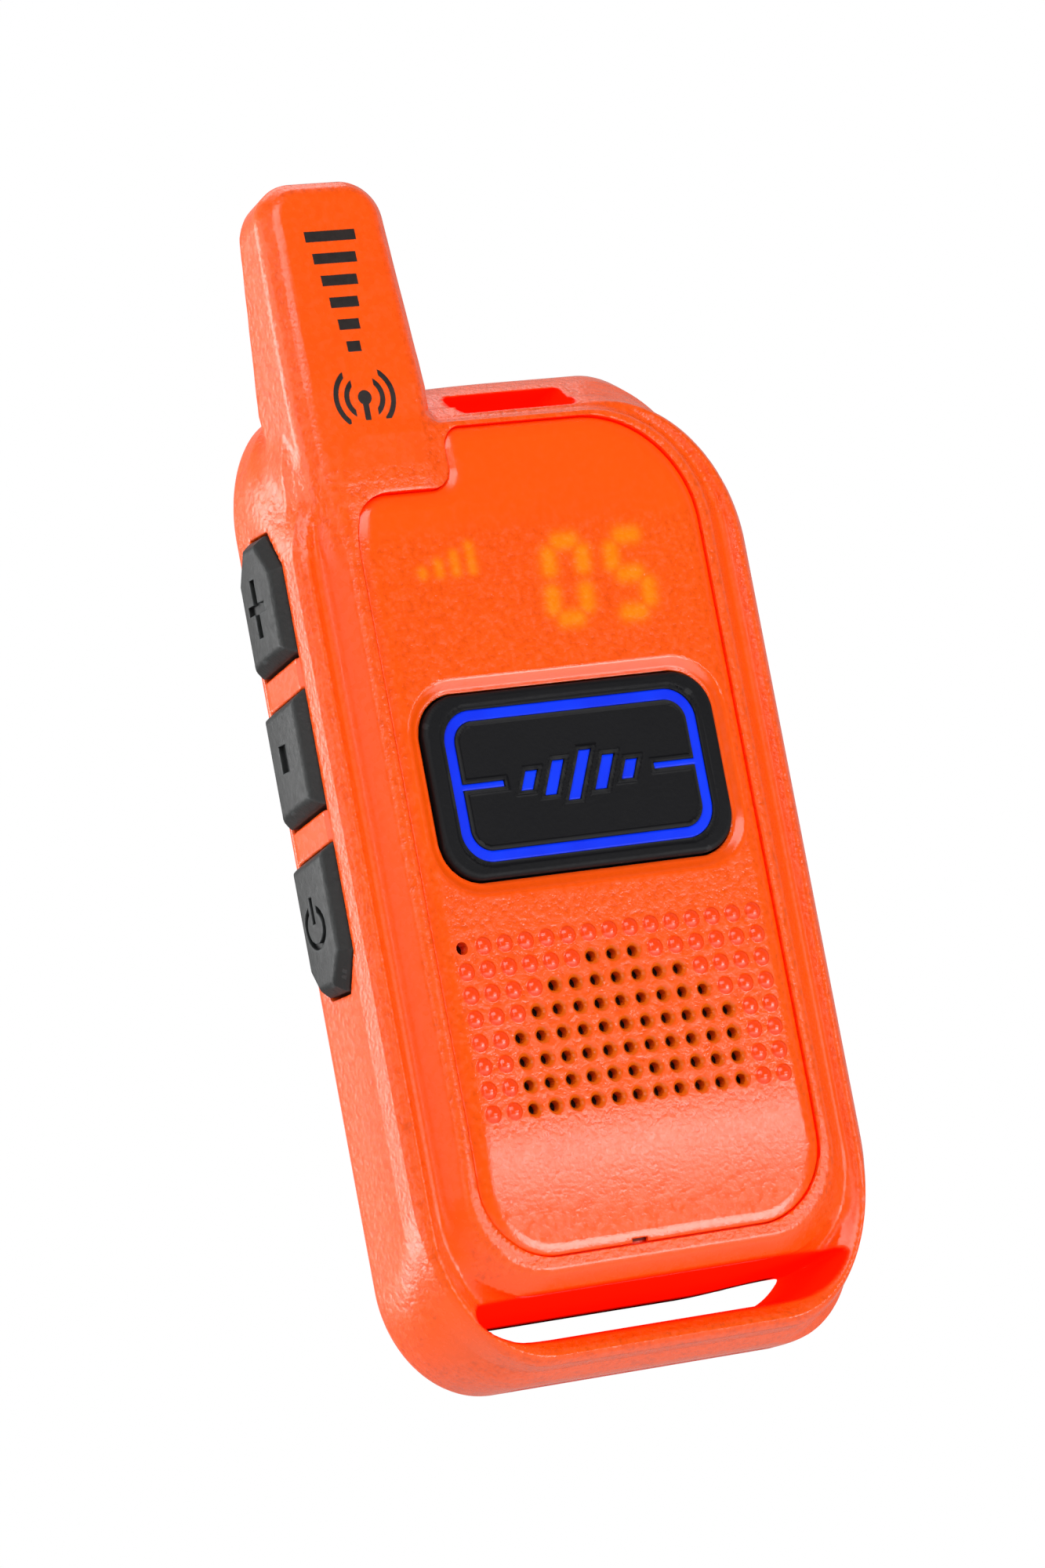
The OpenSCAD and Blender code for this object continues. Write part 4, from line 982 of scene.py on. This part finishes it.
def case_painted_shadow(x, y, z):
    """Painted shadow: a dark strip at the back of the strap opening's ceiling."""
    strip = smooth((y - 5.0) / 0.8) * (z > 4.6) * (z < 6.6)
    return strip * smooth((19.6 - np.abs(x)) / 1.0) * (y < 7.95)


# ---------------------------------------------------------------- print on the aerial
def printed(x, y, z):
    """Print up the aerial: a mast with waves, then a row of level bars."""
    across = x + AERIAL_X
    sign = either(bar(across, z, 0, 96.6, 0.33, 1.9), disc(across, z, 0, 99.0, 0.75))
    for radius in (2.0, 3.2):
        wave = np.abs(disc(across, z, 0, 99.0, radius)) - 0.27
        sign = either(sign, both(wave, 0.62 * radius - np.abs(across)))
    for i in range(6):
        sign = either(sign, bar(across, z - 104.4, 0, 2.35 * i, 0.75 + 0.42 * i, 0.55))
    face = stations(z, AERIAL)[2]
    return meet(sign, band(y, face - 0.035, face + 0.25), 0.02)


# ---------------------------------------------------------------- the pieces
piece("case_shell", housing, (-26, -8.6, -1.1), (26, 8, 122.8), 0.435, "case",
      "housing_orange", "housing",
      attributes={"grain": case_grain, "inner": case_inner, "painted_shadow": case_painted_shadow})
piece("front_panel", plate, (-19.6, -8.95, 11), (19.6, -6.8, 95.2), 0.27, "case",
      "plate_orange", "front_plate",
      attributes={"grain": plate_grain, "glow": glow, "dots": plate_dots,
                  "sinks": plate_sinks})
piece("talk_button", pad, (-17.7, -8.9, 47.9), (17.7, -4.4, 68.9), 0.22, "talk_pad",
      "pad_rubber", "ptt_pad")
piece("talk_inlay", inlay, (-14.6, -8.6, 50.5), (14.6, -3.7, 66.3), 0.17, "talk_pad",
      "inlay_blue", "ptt_light_guide")
for i, (word, mark) in enumerate((("plus", plus_mark), ("minus", minus_mark),
                                  ("power", power_mark))):
    piece("side_key_" + word, key(i, mark), (-27.45, -3.6, KEY_BOTTOM[i] - 2.2),
          (-22.7, 5.8, KEY_TOP[i] + 0.9), 0.17, word + "_key", "key_rubber", "key_" + word)
piece("back_cover", cover, (-23.3, 5.4, 10.4), (23.3, 13.2, 94.9), 0.36, "case",
      "cover_orange", "rear_cover")
piece("belt_hook", clip, (-7.9, 8, 35.9), (7.9, 13.2, 91.1), 0.28, "clip",
      "clip_orange", "belt_clip")
piece("socket_flap", flap, (24, -1.9, 55), (26.4, 4.9, 74), 0.17, "port_flap",
      "flap_rubber", "port_cover")
piece("aerial_print", printed, (-20.2, -8.6, 94.0), (-12.2, -6.9, 117.2), 0.16, "case",
      "pad_rubber", material="print_black")


# ---------------------------------------------------------------- stage, lights, camera
def floor_material():
    """Pale floor for the camera, clear to other rays but for a lit patch in the sheen."""
    material = bpy.data.materials.new("floor_pale")
    graph = Graph(material, "OutputMaterial")
    path = graph.add("LightPath").outputs
    geometry = graph.add("NewGeometry").outputs
    cloud = graph.noise(graph.add("TexCoord").outputs["Object"], 6.0, detail=3.0, rough=0.5)
    pale = graph.add("BsdfDiffuse", Color=graph.mix(cloud, (0.86,) * 3, (0.9,) * 3))
    upper = graph.minus(1.0, geometry["Backfacing"])
    shown = graph.blend(graph.times(upper, path["Is Camera Ray"]),
                        graph.add("BsdfTransparent"), pale)
    # the lit table shows in the sheen of downward slopes higher up
    table = graph.add("Emission", Strength=3.6)
    place = graph.add("SeparateXYZ", Vector=geometry["Position"]).outputs
    ray = graph.add("SeparateXYZ", Vector=geometry["Incoming"]).outputs
    near = graph.times(graph.ramp(place["Y"], -0.045, -0.03, to=(1.0, 0.0)),
                       graph.ramp(place["Y"], -0.15, -0.11))
    steep = graph.ramp(ray["Z"], 0.42, 0.6)
    seen = graph.times(graph.times(near, steep), path["Is Glossy Ray"])
    mixed = graph.blend(graph.times(seen, upper), shown, table)
    graph.set(graph.output, Surface=mixed.outputs[0])
    return material


floor_mesh = bpy.data.meshes.new("floor")
floor_mesh.from_pydata([(-3, -3, 0), (3, -3, 0), (3, 3, 0), (-3, 3, 0)], [], [(0, 1, 2, 3)])
floor_mesh.materials.append(floor_material())
add_object("floor", floor_mesh)

# Softboxes face this point. Columns: name, direction, distance, width, height, radiance
LIT_POINT = Vector((0.0, 0.0, 0.06))
SOFTBOXES = (
    ("box_right", (0.477, -0.878, -0.065), 0.8, 0.5, 0.05, 13.5),
    ("box_low", (0.46, -0.83, -0.42), 0.8, 0.4, 0.22, 10.0),
    ("box_edge", (-0.62, -0.77, 0.13), 0.9, 0.07, 0.7, 4.5),
    ("box_left", (-0.98, -0.08, 0.18), 0.8, 0.45, 0.6, 2.3),
    ("box_rear", (-0.75, 0.62, 0.13), 0.8, 0.35, 0.6, 8.5),
    ("box_front", (-0.40, -0.74, 0.58), 0.9, 0.62, 0.5, 4.8),
    ("box_top", (0.1, 0.35, 1.0), 0.8, 0.6, 0.5, 2.0),
)
for name, direction, distance, width, height, radiance in SOFTBOXES:
    lamp = bpy.data.lights.new(name, "AREA")
    lamp.shape = "RECTANGLE"
    lamp.size = width
    lamp.size_y = height
    lamp.energy = radiance * math.pi * width * height
    softbox = add_object(name, lamp)
    towards = Vector(direction).normalized()
    softbox.location = LIT_POINT + towards * distance
    softbox.rotation_euler = towards.to_track_quat("Z", "Y").to_euler()
    softbox.visible_camera = False


def studio_world():
    """White to the camera; otherwise dim, brighter behind the radio and far below it."""
    world = bpy.data.worlds.new("studio")
    bpy.context.scene.world = world
    graph = Graph(world, "OutputWorld")
    coords = graph.add("TexCoord").outputs["Generated"]
    facing = graph.add("VectorMath")
    facing.operation = "DOT_PRODUCT"
    graph.feed(facing.inputs[0], coords)
    graph.feed(facing.inputs[1], (0.15, 0.98, 0.1))
    up = graph.add("SeparateXYZ", Vector=coords).outputs["Z"]
    below = graph.ramp(up, -0.25, -0.8, to=(0.0, 1.2))
    behind = graph.ramp(facing.outputs["Value"], -0.30, 0.40, to=(0.10, 0.6))
    around = graph.add("Background", Strength=graph.maths("MAXIMUM", below, behind))
    white = graph.add("Background", Color=(1, 1, 1))
    camera_ray = graph.add("LightPath").outputs["Is Camera Ray"]
    mixed = graph.blend(camera_ray, around, white)
    graph.set(graph.output, Surface=mixed.outputs[0])


studio_world()
bpy.context.scene.view_settings.view_transform = "Standard"
bpy.context.scene.view_settings.look = "None"

lens = bpy.data.cameras.new("camera")
lens.sensor_fit = "VERTICAL"
lens.sensor_height = lens.sensor_width = 36.0
lens.lens = 147.72
lens.clip_start = 0.01
lens.clip_end = 20.0
camera = add_object("camera", lens)
CAMERA_PLACE = (-0.312349, -0.571345, -0.023838)
CAMERA_TURN = Matrix(((0.8748381, 0.10304498, -0.47332867),
                      (-0.44797055, -0.19973382, -0.87145211),
                      (-0.18433851, 0.97441682, -0.12857364)))
camera.matrix_world = Matrix.Translation(CAMERA_PLACE) @ CAMERA_TURN.to_4x4()
bpy.context.scene.camera = camera
